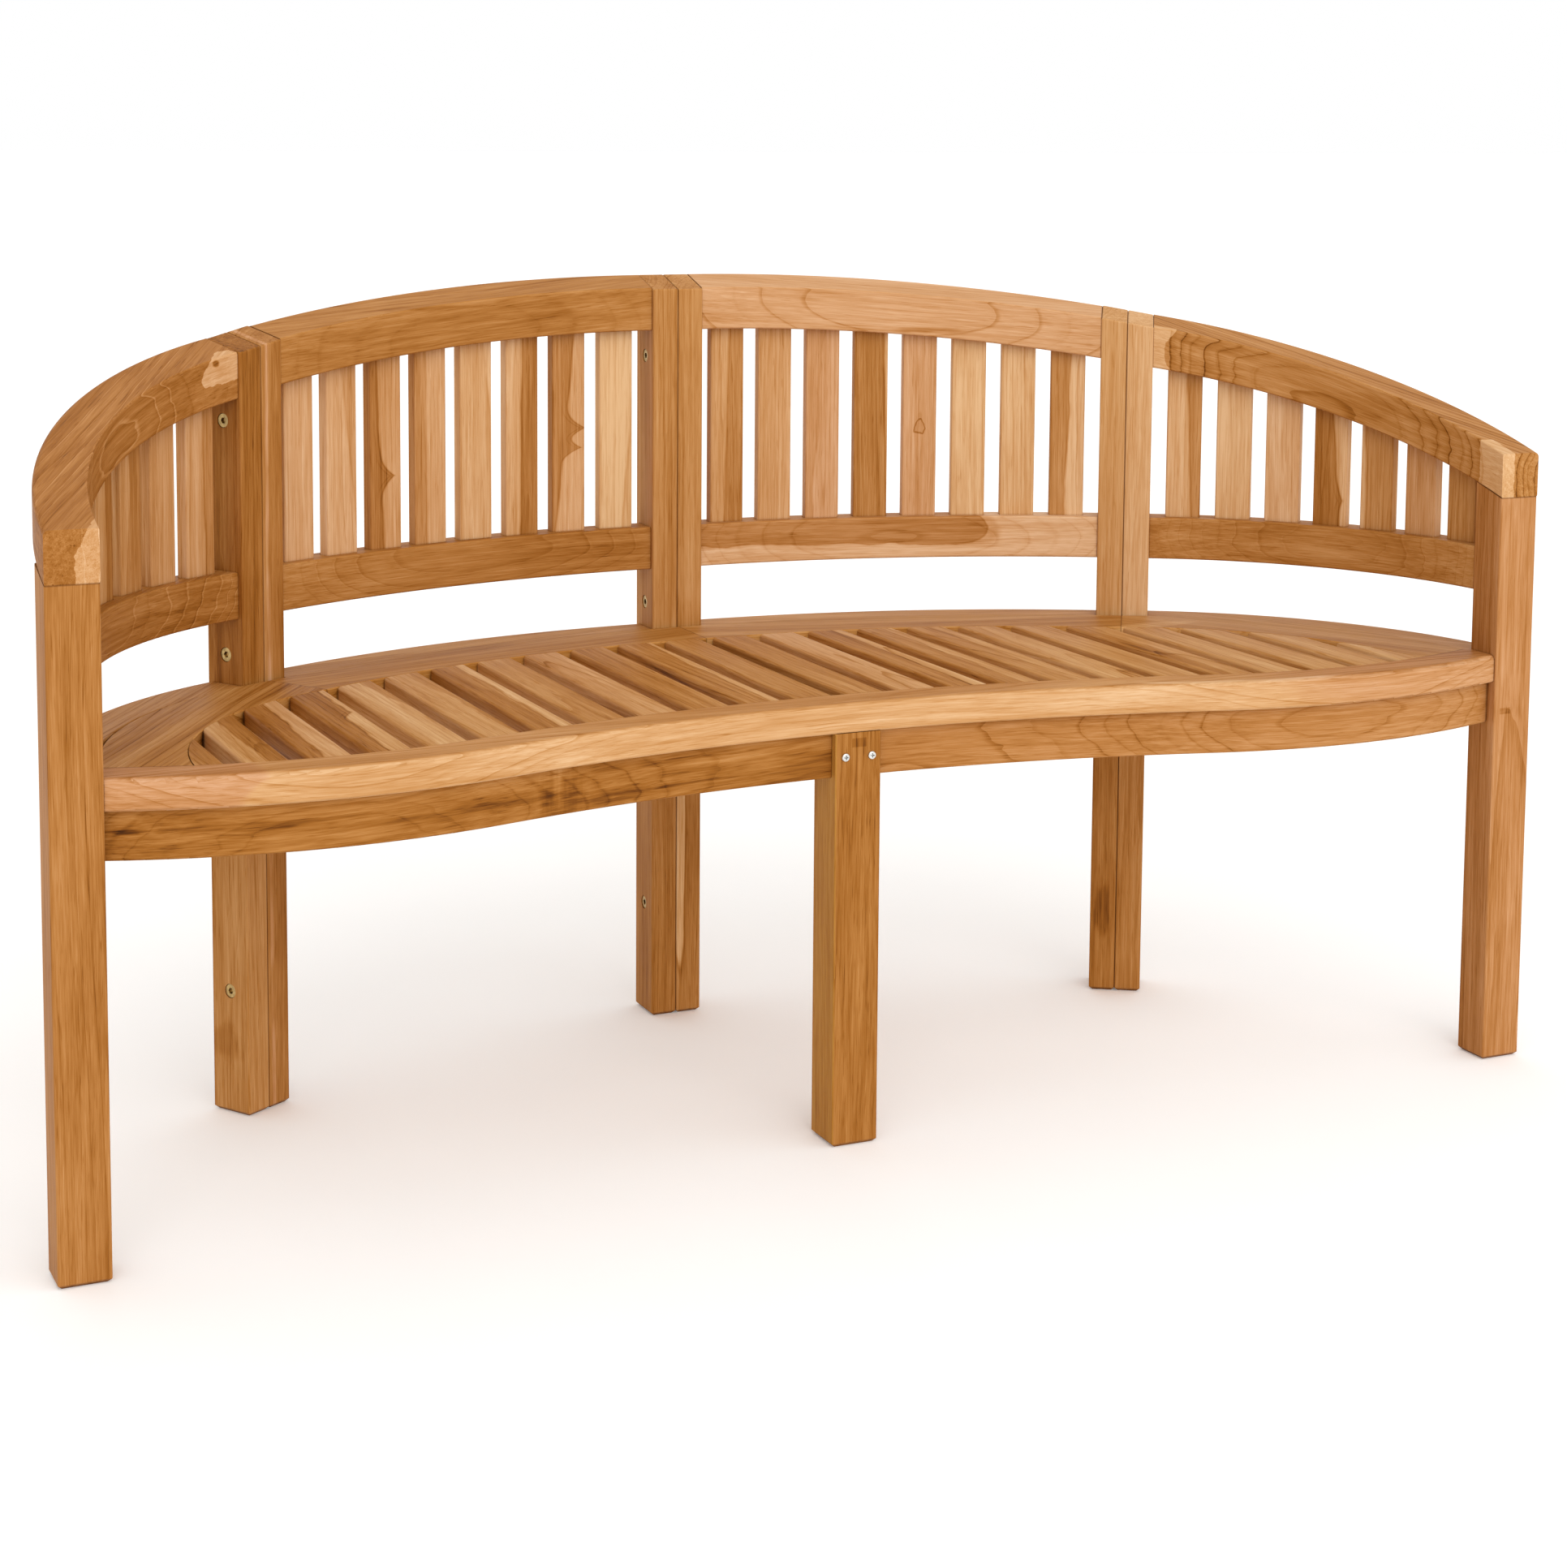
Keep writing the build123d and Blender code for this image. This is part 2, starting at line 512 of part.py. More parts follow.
with BuildPart() as top_rail_right_side:
    with BuildSketch(Plane.XY.offset(500)):
        s0, s1 = hit(ARC_S, TOP_R_S[0], *AT_OUT), hit(ARC_S, TOP_R_S[1], *AT_OUT)
        f0, f1 = (FRONT_X, ARC_S[1]), (FRONT_X + FRONT_W, ARC_S[1])
        with BuildLine():
            arc(ARC_S, s0, f0)
            Line(f0, (f0[0], FRONT_Y))
            Line((f0[0], FRONT_Y), (f1[0], FRONT_Y))
            Line((f1[0], FRONT_Y), f1)
            arc(ARC_S, f1, s1)
            Line(s1, s0)
        make_face()
    extrude(amount=500)
    with BuildSketch(Plane.YZ):
        rim_band(0, RIM_H)
    extrude(amount=900, both=True, mode=Mode.INTERSECT)
    top_face = top_rail_right_side.faces().filter_by(lambda f: f.normal_at().Z > 0.9)[0]
    low_face = top_rail_right_side.faces().filter_by(lambda f: f.normal_at().Z < -0.9)[0]
    far = dist(ARC_S, f1) - 1
    near = dist(ARC_S, f0) + 1
    outer = [e for e in top_face.edges() if all(
        hypot(v.X - ARC_S[0], v.Y - min(v.Y, ARC_S[1]) if v.Y < ARC_S[1] else v.Y - ARC_S[1]) > far
        for v in e.vertices())]
    fillet(outer, CREST_R)
    low_face = top_rail_right_side.faces().filter_by(lambda f: f.normal_at().Z < -0.9)[0]
    soft = [e for e in low_face.edges() if e.geom_type != GeomType.LINE]
    top_face = top_rail_right_side.faces().filter_by(GeomType.PLANE).filter_by(lambda f: f.normal_at().Z > 0.9)[0]
    soft += [e for e in top_face.edges() if all(
        hypot(v.X - ARC_S[0], 0 if v.Y < ARC_S[1] else v.Y - ARC_S[1]) < near for v in e.vertices())]
    fillet(soft, EASE)
    tenon(J_TOP_O, TO_OUT, top_z(J_TOP_O), TOP_TENON_H)
    with BuildSketch(Plane.XY.offset(500)):
        with Locations((CAP_X, CAP_Y)):
            Rectangle(CAP_TENON[0] + 2 * FIT, CAP_TENON[1] + 2 * FIT)
    extrude(amount=rim(CAP_Y) - RIM_H + CAP_TENON[2] + 1 - 500, mode=Mode.SUBTRACT)
    add(pockets_s.part, mode=Mode.SUBTRACT)
top_rail_right_side.part.label = "top_rail_right_side"

with BuildPart() as lower_rail_right_centre:
    with BuildSketch(Plane.XY.offset(LOW_Z)):
        strip(ARC_C, LOW_R_C, AT_MID, AT_IN)
    extrude(amount=LOW_H)
    fillet(lower_rail_right_centre.edges().filter_by(GeomType.CIRCLE), EASE)
    tenon(J_LOW_M, TO_MID, LOW_MID, RAIL_TENON_H)
    tenon(J_LOW_I, TO_IN, LOW_MID, RAIL_TENON_H)
    add(pockets_c.part, mode=Mode.SUBTRACT)
lower_rail_right_centre.part.label = "lower_rail_right_centre"

with BuildPart() as lower_rail_right_side:
    with BuildSketch(Plane.XY.offset(LOW_Z)):
        strip(ARC_S, LOW_R_S, AT_OUT, AT_FRONT)
    extrude(amount=LOW_H)
    fillet(lower_rail_right_side.edges().filter_by(GeomType.CIRCLE), EASE)
    tenon(J_LOW_O, TO_OUT, LOW_MID, RAIL_TENON_H)
    tenon(J_LOW_F, TO_FRONT, LOW_MID, RAIL_TENON_H, 24)
    add(pockets_s.part, mode=Mode.SUBTRACT)
lower_rail_right_side.part.label = "lower_rail_right_side"

# screws between ledger, seat frame and seat-level rail
LEDGE_R_C = (SILL_R_C[0] - 0.1 - LEDGE_W, SILL_R_C[0] - 0.1)
LEDGE_R_S = (SILL_R_S[0] - 0.1 - LEDGE_W, SILL_R_S[0] - 0.1)
LEDGE_Z = SEAT_Z - LEDGE_H
ANG_C = [bearing(ARC_C, hit(ARC_C, SILL_R_C[0], *AT_MID)), bearing(ARC_C, hit(ARC_C, SILL_R_C[0], *AT_IN))]
ANG_S = [bearing(ARC_S, hit(ARC_S, SILL_R_S[0], *AT_OUT)), bearing(ARC_S, (FRONT_X, FRONT_Y + FRONT_D + 6))]


def between(span, k):
    return span[0] + (span[1] - span[0]) * k


def around(c, r, a):
    return (c[0] + r * sin(a), c[1] + r * cos(a))


UP_C = [around(ARC_C, LEDGE_R_C[0] + 11, between(ANG_C, k)) for k in (0.16, 0.5, 0.84)]
UP_S = [around(ARC_S, LEDGE_R_S[0] + 11, between(ANG_S, k)) for k in (0.16, 0.5, 0.84)]
OUT_C = [(around(ARC_C, LEDGE_R_C[0], between(ANG_C, k)), between(ANG_C, k)) for k in (0.26, 0.62, 0.74)]
OUT_S = [(around(ARC_S, LEDGE_R_S[0], between(ANG_S, k)), between(ANG_S, k)) for k in (0.26, 0.62, 0.74)]
SCREW_UP = [Plane(origin=(p[0], p[1], LEDGE_Z), x_dir=(1, 0, 0), z_dir=(0, 0, 1)) for p in UP_C + UP_S]
SCREW_OUT = [side_plane(p, (sin(a), cos(a)), LEDGE_Z + LEDGE_H / 2) for p, a in OUT_C + OUT_S]
SCREWS_RIGHT = SCREW_UP + SCREW_OUT
SCREW_R, SCREW_L, SCREW_HEAD = 2.1, 38.0, 4.2


def screw_holes(planes):
    for p in planes:
        with BuildSketch(p) as hole:
            Circle(SCREW_R + 0.05)
        extrude(hole.sketch, amount=SCREW_L + 1, mode=Mode.SUBTRACT)


def screw_sinks(planes):
    for p in planes:
        with BuildSketch(p) as sink:
            Circle(SCREW_HEAD + 0.1)
        extrude(sink.sketch, amount=3, mode=Mode.SUBTRACT)


with BuildPart() as seat_level_rail_right_centre:
    with BuildSketch(Plane.XY.offset(SILL_Z)):
        strip(ARC_C, SILL_R_C, AT_MID, AT_IN)
    extrude(amount=SILL_H)
    fillet(seat_level_rail_right_centre.edges().filter_by(GeomType.CIRCLE), EASE)
    tenon(J_SILL_M, TO_MID, SILL_MID, RAIL_TENON_H)
    tenon(J_SILL_I, TO_IN, SILL_MID, RAIL_TENON_H)
    screw_holes(SCREW_OUT)
seat_level_rail_right_centre.part.label = "seat_level_rail_right_centre"

with BuildPart() as seat_level_rail_right_side:
    with BuildSketch(Plane.XY.offset(SILL_Z)):
        strip(ARC_S, SILL_R_S, AT_OUT, AT_FRONT)
    extrude(amount=SILL_H)
    fillet(seat_level_rail_right_side.edges().filter_by(GeomType.CIRCLE), EASE)
    tenon(J_SILL_O, TO_OUT, SILL_MID, RAIL_TENON_H)
    tenon(J_SILL_F, TO_FRONT, SILL_LOW, SILL_LOW_H, 16)
    screw_holes(SCREW_OUT)
seat_level_rail_right_side.part.label = "seat_level_rail_right_side"

with BuildPart() as back_slats_right_centre:
    for x, y, a in SPOTS_C:
        with BuildSketch(Plane.XY.offset(LOW_Z + LOW_H - SLAT_IN)):
            with Locations(Location((x, y, 0), (0, 0, a))):
                RectangleRounded(SLAT_W, SLAT_T, EASE)
        extrude(amount=400)
    with BuildSketch(Plane.YZ):
        below_rim(RIM_H - SLAT_IN, 0)
    extrude(amount=900, both=True, mode=Mode.INTERSECT)
back_slats_right_centre.part.label = "back_slats_right_centre"

with BuildPart() as back_slats_right_side:
    for x, y, a in SPOTS_S:
        with BuildSketch(Plane.XY.offset(LOW_Z + LOW_H - SLAT_IN)):
            with Locations(Location((x, y, 0), (0, 0, a))):
                RectangleRounded(SLAT_W, SLAT_T, EASE)
        extrude(amount=400)
    with BuildSketch(Plane.YZ):
        below_rim(RIM_H - SLAT_IN, 0)
    extrude(amount=900, both=True, mode=Mode.INTERSECT)
back_slats_right_side.part.label = "back_slats_right_side"

# --------------------------------------------------------------- seat frame
with BuildPart() as seat_front_rail:
    with BuildSketch(Plane.XY.offset(SEAT_Z)):
        edge_band(-FRONT_X - 15, FRONT_X + 15, 0, EDGE_W)
    extrude(amount=SEAT_H)
    top_face = seat_front_rail.faces().sort_by(Axis.Z)[-1]
    front_run = [e for e in top_face.edges() if e.geom_type == GeomType.CIRCLE
                 and abs(e.center().Y - edge_at(e.center().X, 0)) < 12]
    fillet(front_run, 6)
    low_run = [e for e in seat_front_rail.faces().sort_by(Axis.Z)[0].edges() if e.geom_type == GeomType.CIRCLE
               and abs(e.center().Y - edge_at(e.center().X, 0)) < 12]
    fillet(low_run, 3)
    with BuildSketch(Plane.XY.offset(SEAT_Z - 5)):
        Rectangle(2 * FRONT_X, 700)
    extrude(amount=SEAT_H + 10, mode=Mode.INTERSECT)
    tenon((FRONT_X, EDGE_END_Y), (1.0, 0.0), SEAT_Z + SEAT_H / 2, 16, 22)
    tenon((-FRONT_X, EDGE_END_Y), (-1.0, 0.0), SEAT_Z + SEAT_H / 2, 16, 22)
    with BuildSketch(Plane.XY.offset(SEAT_Z - 5)):
        with Locations((-FRONT_X, FRONT_Y + FRONT_D + 4), (FRONT_X, FRONT_Y + FRONT_D + 4)):
            Rectangle(14, 11)
    extrude(amount=SEAT_H + 10, mode=Mode.SUBTRACT)
    add(tongue_pockets.part, mode=Mode.SUBTRACT)
    dowel_holes(DOWEL_FRONT)
    dowel_holes([Plane(origin=(-p.origin.X, p.origin.Y, p.origin.Z), x_dir=(1, 0, 0), z_dir=(0, 1, 0))
                 for p in DOWEL_FRONT])
    with BuildSketch(Plane.XY.offset(SEAT_Z)):
        with Locations((0, edge_at(0, EDGE_W / 2))):
            Rectangle(24 + 2 * FIT, 16 + 2 * FIT)
    extrude(amount=19, mode=Mode.SUBTRACT)
seat_front_rail.part.label = "seat_front_rail"

SEAM_END = ((SEAM_LINE[0][0] + 20 * T[0], SEAM_LINE[0][1] + 20 * T[1]), N)
SEAM_START = ((SEAM_LINE[0][0] - 20 * T[0], SEAM_LINE[0][1] - 20 * T[1]), N)
SEAM_CUT = Plane(origin=(SEAM[0], SEAM[1], SEAT_Z - 5), x_dir=(T[0], T[1], 0), z_dir=(0, 0, 1))

with BuildPart() as seat_back_rail_right_centre:
    with BuildSketch(Plane.XY.offset(SEAT_Z)):
        m0, m1 = (ARC_C[0], ARC_C[1] + SEAT_R_C[0]), (ARC_C[0], ARC_C[1] + SEAT_R_C[1])
        b0, b1 = hit(ARC_C, SEAT_R_C[0], *SEAM_END), hit(ARC_C, SEAT_R_C[1], *SEAM_END)
        with BuildLine():
            Line((-20, m0[1]), m0)
            arc(ARC_C, m0, b0)
            Line(b0, b1)
            arc(ARC_C, b1, m1)
            Line(m1, (-20, m1[1]))
            Line((-20, m1[1]), (-20, m0[1]))
        make_face()
    extrude(amount=SEAT_H)
    chamfer([e for e in seat_back_rail_right_centre.faces().sort_by(Axis.Z)[-1].edges()
            if e.geom_type == GeomType.CIRCLE or abs(e.tangent_at(0).X) > 0.99], 1.2)
    with BuildSketch(SEAM_CUT):
        with Locations((100, 0)):
            Rectangle(200, 400)
    extrude(amount=SEAT_H + 10, mode=Mode.SUBTRACT)
    with BuildSketch(Plane.XY.offset(SEAT_Z - 5)):
        with Locations((-50, 200)):
            Rectangle(100, 300)
    extrude(amount=SEAT_H + 10, mode=Mode.SUBTRACT)
    add(tongue_pockets.part, mode=Mode.SUBTRACT)
    dowel_holes(DOWEL_MID)
    dowel_holes(DOWEL_RIGHT)
    screw_holes(SCREW_UP)
seat_back_rail_right_centre.part.label = "seat_back_rail_right_centre"

with BuildPart() as seat_back_rail_right_side:
    with BuildSketch(Plane.XY.offset(SEAT_Z)):
        g0 = (ARC_S[0] + SEAT_R_S[0], ARC_S[1])
        g1 = (ARC_S[0] + SEAT_R_S[1], ARC_S[1])
        b0, b1 = hit(ARC_S, SEAT_R_S[0], *SEAM_START), hit(ARC_S, SEAT_R_S[1], *SEAM_START)
        with BuildLine():
            arc(ARC_S, b0, g0)
            Line(g0, g1)
            arc(ARC_S, g1, b1)
            Line(b1, b0)
        make_face()
    extrude(amount=SEAT_H)
    chamfer([e for e in seat_back_rail_right_side.faces().sort_by(Axis.Z)[-1].edges()
            if e.geom_type == GeomType.CIRCLE], 1.2)
    add(front_zone.part, mode=Mode.SUBTRACT)
    with BuildSketch(SEAM_CUT):
        with Locations((-100, 0)):
            Rectangle(200, 400)
    extrude(amount=SEAT_H + 10, mode=Mode.SUBTRACT)
    add(tongue_pockets.part, mode=Mode.SUBTRACT)
    dowel_holes(DOWEL_RIGHT)
    dowel_holes(DOWEL_FRONT)
    screw_holes(SCREW_UP)
seat_back_rail_right_side.part.label = "seat_back_rail_right_side"


with BuildPart() as slat_field:
    for i in range(SEAT_N):
        with BuildSketch(Plane.XZ):
            with Locations(((i - (SEAT_N - 1) / 2) * SEAT_PITCH, SEAT_TOP - SEAT_SLAT_T / 2)):
                RectangleRounded(SEAT_SLAT_W, SEAT_SLAT_T, 3.5)
        extrude(amount=400, both=True)
    with BuildSketch(Plane.XY.offset(SEAT_Z - 5)):
        opening(-0.3)
    extrude(amount=SEAT_H + 10, mode=Mode.INTERSECT)

with BuildPart() as tongue_field:
    with BuildSketch(Plane.XY.offset(TONGUE_Z)):
        with GridLocations(SEAT_PITCH, 0, SEAT_N, 1):
            Rectangle(TONGUE_W, 800)
    extrude(amount=TONGUE_H)
    with BuildSketch(Plane.XY.offset(TONGUE_Z - 5)):
        opening(TONGUE_L - 0.5)
    extrude(amount=TONGUE_H + 10, mode=Mode.INTERSECT)

with BuildPart() as seat_slats_right:
    add(slat_field.part)
    add(tongue_field.part)
    with BuildSketch(Plane.XY.offset(SEAT_Z - 20)):
        with Locations((400, 0)):
            Rectangle(800, 900)
    extrude(amount=100, mode=Mode.INTERSECT)
seat_slats_right.part.label = "seat_slats_right"

# ------------------------------------------------- apron, bearer and ledgers
with BuildPart() as front_apron_right:
    with BuildSketch(Plane.XY.offset(APRON_Z)):
        edge_band(LEG_W / 2 - 15, FRONT_X + 15, APRON_BACK, APRON_BACK + APRON_T)
    extrude(amount=APRON_H)
    fillet([e for e in front_apron_right.faces().sort_by(Axis.Z)[0].edges() if e.geom_type == GeomType.CIRCLE
            and abs(e.center().Y - edge_at(e.center().X, APRON_BACK)) < 8], EASE)
    with BuildSketch(Plane.XY.offset(APRON_Z - 5)):
        with Locations(((LEG_W / 2 + FRONT_X) / 2, 0)):
            Rectangle(FRONT_X - LEG_W / 2, 700)
    extrude(amount=APRON_H + 10, mode=Mode.INTERSECT)
    tenon((FRONT_X, APRON_END_Y), (1.0, 0.0), APRON_LOW, APRON_LOW_H, 22, 10)
    tenon((LEG_W / 2, edge_at(LEG_W / 2, APRON_BACK + APRON_T / 2)), (-1.0, 0.0), APRON_Z + APRON_H / 2, 28, 7, 10)
front_apron_right.part.label = "front_apron_right"

with BuildPart() as seat_bearer_middle:
    with BuildSketch(Plane.XY.offset(SEAT_Z - BEARER_H)):
        with Locations((0, (LEG_Y + LEG_D + MID_Y) / 2)):
            Rectangle(BEARER_W, MID_Y - LEG_Y - LEG_D)
    extrude(amount=BEARER_H)
    fillet(seat_bearer_middle.edges().filter_by(Axis.Y), EASE)
    with BuildSketch(Plane.XZ.offset(-MID_Y + 4)):
        with Locations((0, SEAT_Z - BEARER_H / 2)):
            Rectangle(20, 26)
    extrude(amount=-19)
    with BuildSketch(Plane.XZ.offset(-LEG_Y - LEG_D)):
        with Locations((-LEG_SCREW_X, LEG_SCREW_Z), (LEG_SCREW_X, LEG_SCREW_Z)):
            Circle(2.6)
    extrude(amount=-32, mode=Mode.SUBTRACT)
seat_bearer_middle.part.label = "seat_bearer_middle"

with BuildPart() as seat_ledger_right_centre:
    with BuildSketch(Plane.XY.offset(LEDGE_Z)):
        a0, a1 = between(ANG_C, 0.06), between(ANG_C, 0.94)
        with BuildLine():
            arc(ARC_C, around(ARC_C, LEDGE_R_C[0], a0), around(ARC_C, LEDGE_R_C[0], a1))
            Line(around(ARC_C, LEDGE_R_C[0], a1), around(ARC_C, LEDGE_R_C[1], a1))
            arc(ARC_C, around(ARC_C, LEDGE_R_C[1], a1), around(ARC_C, LEDGE_R_C[1], a0))
            Line(around(ARC_C, LEDGE_R_C[1], a0), around(ARC_C, LEDGE_R_C[0], a0))
        make_face()
    extrude(amount=LEDGE_H)
    screw_holes(SCREWS_RIGHT)
    screw_sinks(SCREWS_RIGHT)
seat_ledger_right_centre.part.label = "seat_ledger_right_centre"

with BuildPart() as seat_ledger_right_side:
    with BuildSketch(Plane.XY.offset(LEDGE_Z)):
        a0, a1 = between(ANG_S, 0.06), between(ANG_S, 0.94)
        with BuildLine():
            arc(ARC_S, around(ARC_S, LEDGE_R_S[0], a0), around(ARC_S, LEDGE_R_S[0], a1))
            Line(around(ARC_S, LEDGE_R_S[0], a1), around(ARC_S, LEDGE_R_S[1], a1))
            arc(ARC_S, around(ARC_S, LEDGE_R_S[1], a1), around(ARC_S, LEDGE_R_S[1], a0))
            Line(around(ARC_S, LEDGE_R_S[1], a0), around(ARC_S, LEDGE_R_S[0], a0))
        make_face()
    extrude(amount=LEDGE_H)
    screw_holes(SCREWS_RIGHT)
    screw_sinks(SCREWS_RIGHT)
seat_ledger_right_side.part.label = "seat_ledger_right_side"

# ----------------------------------------------------------------- fasteners
with BuildPart() as post_bolts:
    for p in BOLTS_MID + BOLTS_RIGHT:
        with BuildSketch(p.offset(1)):
            Circle(BOLT_HEAD_R)
        extrude(amount=SINK_D - 1)
        with BuildSketch(p.offset(SINK_D)):
            Circle(BOLT_R - 0.05)
        extrude(amount=47)
        with BuildSketch(p.offset(1)):
            RegularPolygon(3.4, 6)
        extrude(amount=2.4, mode=Mode.SUBTRACT)
    for p in BOLTS_RIGHT:
        o, d = p.origin, p.z_dir
        q = side_plane((-o.X, o.Y), (-d.X, d.Y), o.Z)
        with BuildSketch(q.offset(1)):
            Circle(BOLT_HEAD_R)
        extrude(amount=SINK_D - 1)
        with BuildSketch(q.offset(SINK_D)):
            Circle(BOLT_R - 0.05)
        extrude(amount=47)
        with BuildSketch(q.offset(1)):
            RegularPolygon(3.4, 6)
        extrude(amount=2.4, mode=Mode.SUBTRACT)
post_bolts.part.label = "post_bolts"

with BuildPart() as post_nuts:
    planes = list(BOLTS_MID) + list(BOLTS_RIGHT)
    for p in BOLTS_RIGHT:
        o, d = p.origin, p.z_dir
        planes.append(side_plane((-o.X, o.Y), (-d.X, d.Y), o.Z))
    for p in planes:
        with BuildSketch(p.offset(2 * POST_W - SINK_D)):
            Circle(BOLT_HEAD_R)
        extrude(amount=SINK_D - 1)
        with BuildSketch(p.offset(2 * POST_W - SINK_D - SLEEVE_L)):
            Circle(SLEEVE_R)
        extrude(amount=SLEEVE_L)
        with BuildSketch(p.offset(2 * POST_W - SINK_D - SLEEVE_L)):
            Circle(BOLT_R + 0.05)
        extrude(amount=SLEEVE_L, mode=Mode.SUBTRACT)
        with BuildSketch(p.offset(2 * POST_W - 3.4)):
            RegularPolygon(3.4, 6)
        extrude(amount=2.4, mode=Mode.SUBTRACT)
post_nuts.part.label = "post_nuts"

with BuildPart() as leg_screws:
    for x in (-LEG_SCREW_X, LEG_SCREW_X):
        p = Plane(origin=(x, LEG_Y, LEG_SCREW_Z), x_dir=(1, 0, 0), z_dir=(0, -1, 0))
        with BuildSketch(p):
            Circle(LEG_SCREW_HEAD)
        extrude(amount=LEG_SCREW_RISE)
        fillet(leg_screws.edges().filter_by(GeomType.CIRCLE).filter_by(
            lambda e: abs(e.arc_center.Y - LEG_Y + LEG_SCREW_RISE) < 0.01 and abs(e.arc_center.X - x) < 1), 1.4)
        with BuildSketch(p.offset(0.6)):
            Rectangle(4.4, 1.0)
            Rectangle(1.0, 4.4)
        extrude(amount=3, mode=Mode.SUBTRACT)
        with BuildSketch(p):
            Circle(2.5)
        extrude(amount=-78)
leg_screws.part.label = "leg_screws"

with BuildPart() as ledger_screws:
    planes = list(SCREWS_RIGHT)
    for p in SCREWS_RIGHT:
        o, d = p.origin, p.z_dir
        if abs(d.Z) > 0.5:
            planes.append(Plane(origin=(-o.X, o.Y, o.Z), x_dir=(1, 0, 0), z_dir=(0, 0, 1)))
        else:
            planes.append(side_plane((-o.X, o.Y), (-d.X, d.Y), o.Z))
    for p in planes:
        with BuildSketch(p.offset(0.4)):
            Circle(SCREW_HEAD)
        extrude(amount=2.6)
        with BuildSketch(p.offset(3)):
            Circle(SCREW_R)
        extrude(amount=SCREW_L - 3)
        with BuildSketch(p.offset(0.4)):
            Rectangle(4.4, 1)
            Rectangle(1, 4.4)
        extrude(amount=1.4, mode=Mode.SUBTRACT)
ledger_screws.part.label = "ledger_screws"

with BuildPart() as seat_dowels:
    planes = DOWEL_MID + DOWEL_RIGHT + DOWEL_FRONT
    for p in DOWEL_RIGHT + DOWEL_FRONT:
        o, d = p.origin, p.z_dir
        planes = planes + [side_plane((-o.X, o.Y), (-d.X, d.Y), o.Z)]
    for p in planes:
        with BuildSketch(p):
            Circle(DOWEL_R)
        extrude(amount=DOWEL_L / 2, both=True)
seat_dowels.part.label = "seat_dowels"

# ------------------------------------------------------- left-hand pieces
with BuildPart() as post_left_inner:
    mirror(post_right_inner.part, about=Plane.YZ)
post_left_inner.part.label = "post_left_inner"
with BuildPart() as post_left_outer:
    mirror(post_right_outer.part, about=Plane.YZ)
post_left_outer.part.label = "post_left_outer"
with BuildPart() as post_front_left:
    mirror(post_front_right.part, about=Plane.YZ)
post_front_left.part.label = "post_front_left"
with BuildPart() as top_rail_left_centre:
    mirror(top_rail_right_centre.part, about=Plane.YZ)
top_rail_left_centre.part.label = "top_rail_left_centre"
with BuildPart() as top_rail_left_side:
    mirror(top_rail_right_side.part, about=Plane.YZ)
top_rail_left_side.part.label = "top_rail_left_side"
with BuildPart() as lower_rail_left_centre:
    mirror(lower_rail_right_centre.part, about=Plane.YZ)
lower_rail_left_centre.part.label = "lower_rail_left_centre"
with BuildPart() as lower_rail_left_side:
    mirror(lower_rail_right_side.part, about=Plane.YZ)
lower_rail_left_side.part.label = "lower_rail_left_side"
with BuildPart() as seat_level_rail_left_centre:
    mirror(seat_level_rail_right_centre.part, about=Plane.YZ)
seat_level_rail_left_centre.part.label = "seat_level_rail_left_centre"
with BuildPart() as seat_level_rail_left_side:
    mirror(seat_level_rail_right_side.part, about=Plane.YZ)
seat_level_rail_left_side.part.label = "seat_level_rail_left_side"
with BuildPart() as back_slats_left_centre:
    mirror(back_slats_right_centre.part, about=Plane.YZ)
back_slats_left_centre.part.label = "back_slats_left_centre"
with BuildPart() as back_slats_left_side:
    mirror(back_slats_right_side.part, about=Plane.YZ)
back_slats_left_side.part.label = "back_slats_left_side"
with BuildPart() as seat_back_rail_left_centre:
    mirror(seat_back_rail_right_centre.part, about=Plane.YZ)
seat_back_rail_left_centre.part.label = "seat_back_rail_left_centre"
with BuildPart() as seat_back_rail_left_side:
    mirror(seat_back_rail_right_side.part, about=Plane.YZ)
seat_back_rail_left_side.part.label = "seat_back_rail_left_side"
with BuildPart() as seat_slats_left:
    mirror(seat_slats_right.part, about=Plane.YZ)
seat_slats_left.part.label = "seat_slats_left"
with BuildPart() as front_apron_left:
    mirror(front_apron_right.part, about=Plane.YZ)
front_apron_left.part.label = "front_apron_left"
with BuildPart() as seat_ledger_left_centre:
    mirror(seat_ledger_right_centre.part, about=Plane.YZ)
seat_ledger_left_centre.part.label = "seat_ledger_left_centre"
with BuildPart() as seat_ledger_left_side:
    mirror(seat_ledger_right_side.part, about=Plane.YZ)
seat_ledger_left_side.part.label = "seat_ledger_left_side"

# -------------------------------------------------------------------- export
for piece in (
    post_middle_left, post_middle_right, post_left_inner, post_left_outer,
    post_right_inner, post_right_outer, post_front_left, post_front_right, leg_front_middle,
    top_rail_left_side, top_rail_left_centre, top_rail_right_centre, top_rail_right_side,
    lower_rail_left_side, lower_rail_left_centre, lower_rail_right_centre, lower_rail_right_side,
    seat_level_rail_left_side, seat_level_rail_left_centre,
    seat_level_rail_right_centre, seat_level_rail_right_side,
    back_slats_left_side, back_slats_left_centre, back_slats_right_centre, back_slats_right_side,
    seat_front_rail, seat_back_rail_left_side, seat_back_rail_left_centre,
    seat_back_rail_right_centre, seat_back_rail_right_side,
    seat_slats_left, seat_slats_right,
    front_apron_left, front_apron_right, seat_bearer_middle,
    seat_ledger_left_side, seat_ledger_left_centre, seat_ledger_right_centre, seat_ledger_right_side,
    post_bolts, post_nuts, leg_screws, ledger_screws, seat_dowels,
):
    export_step(piece.part, "parts/" + piece.part.label + ".step")
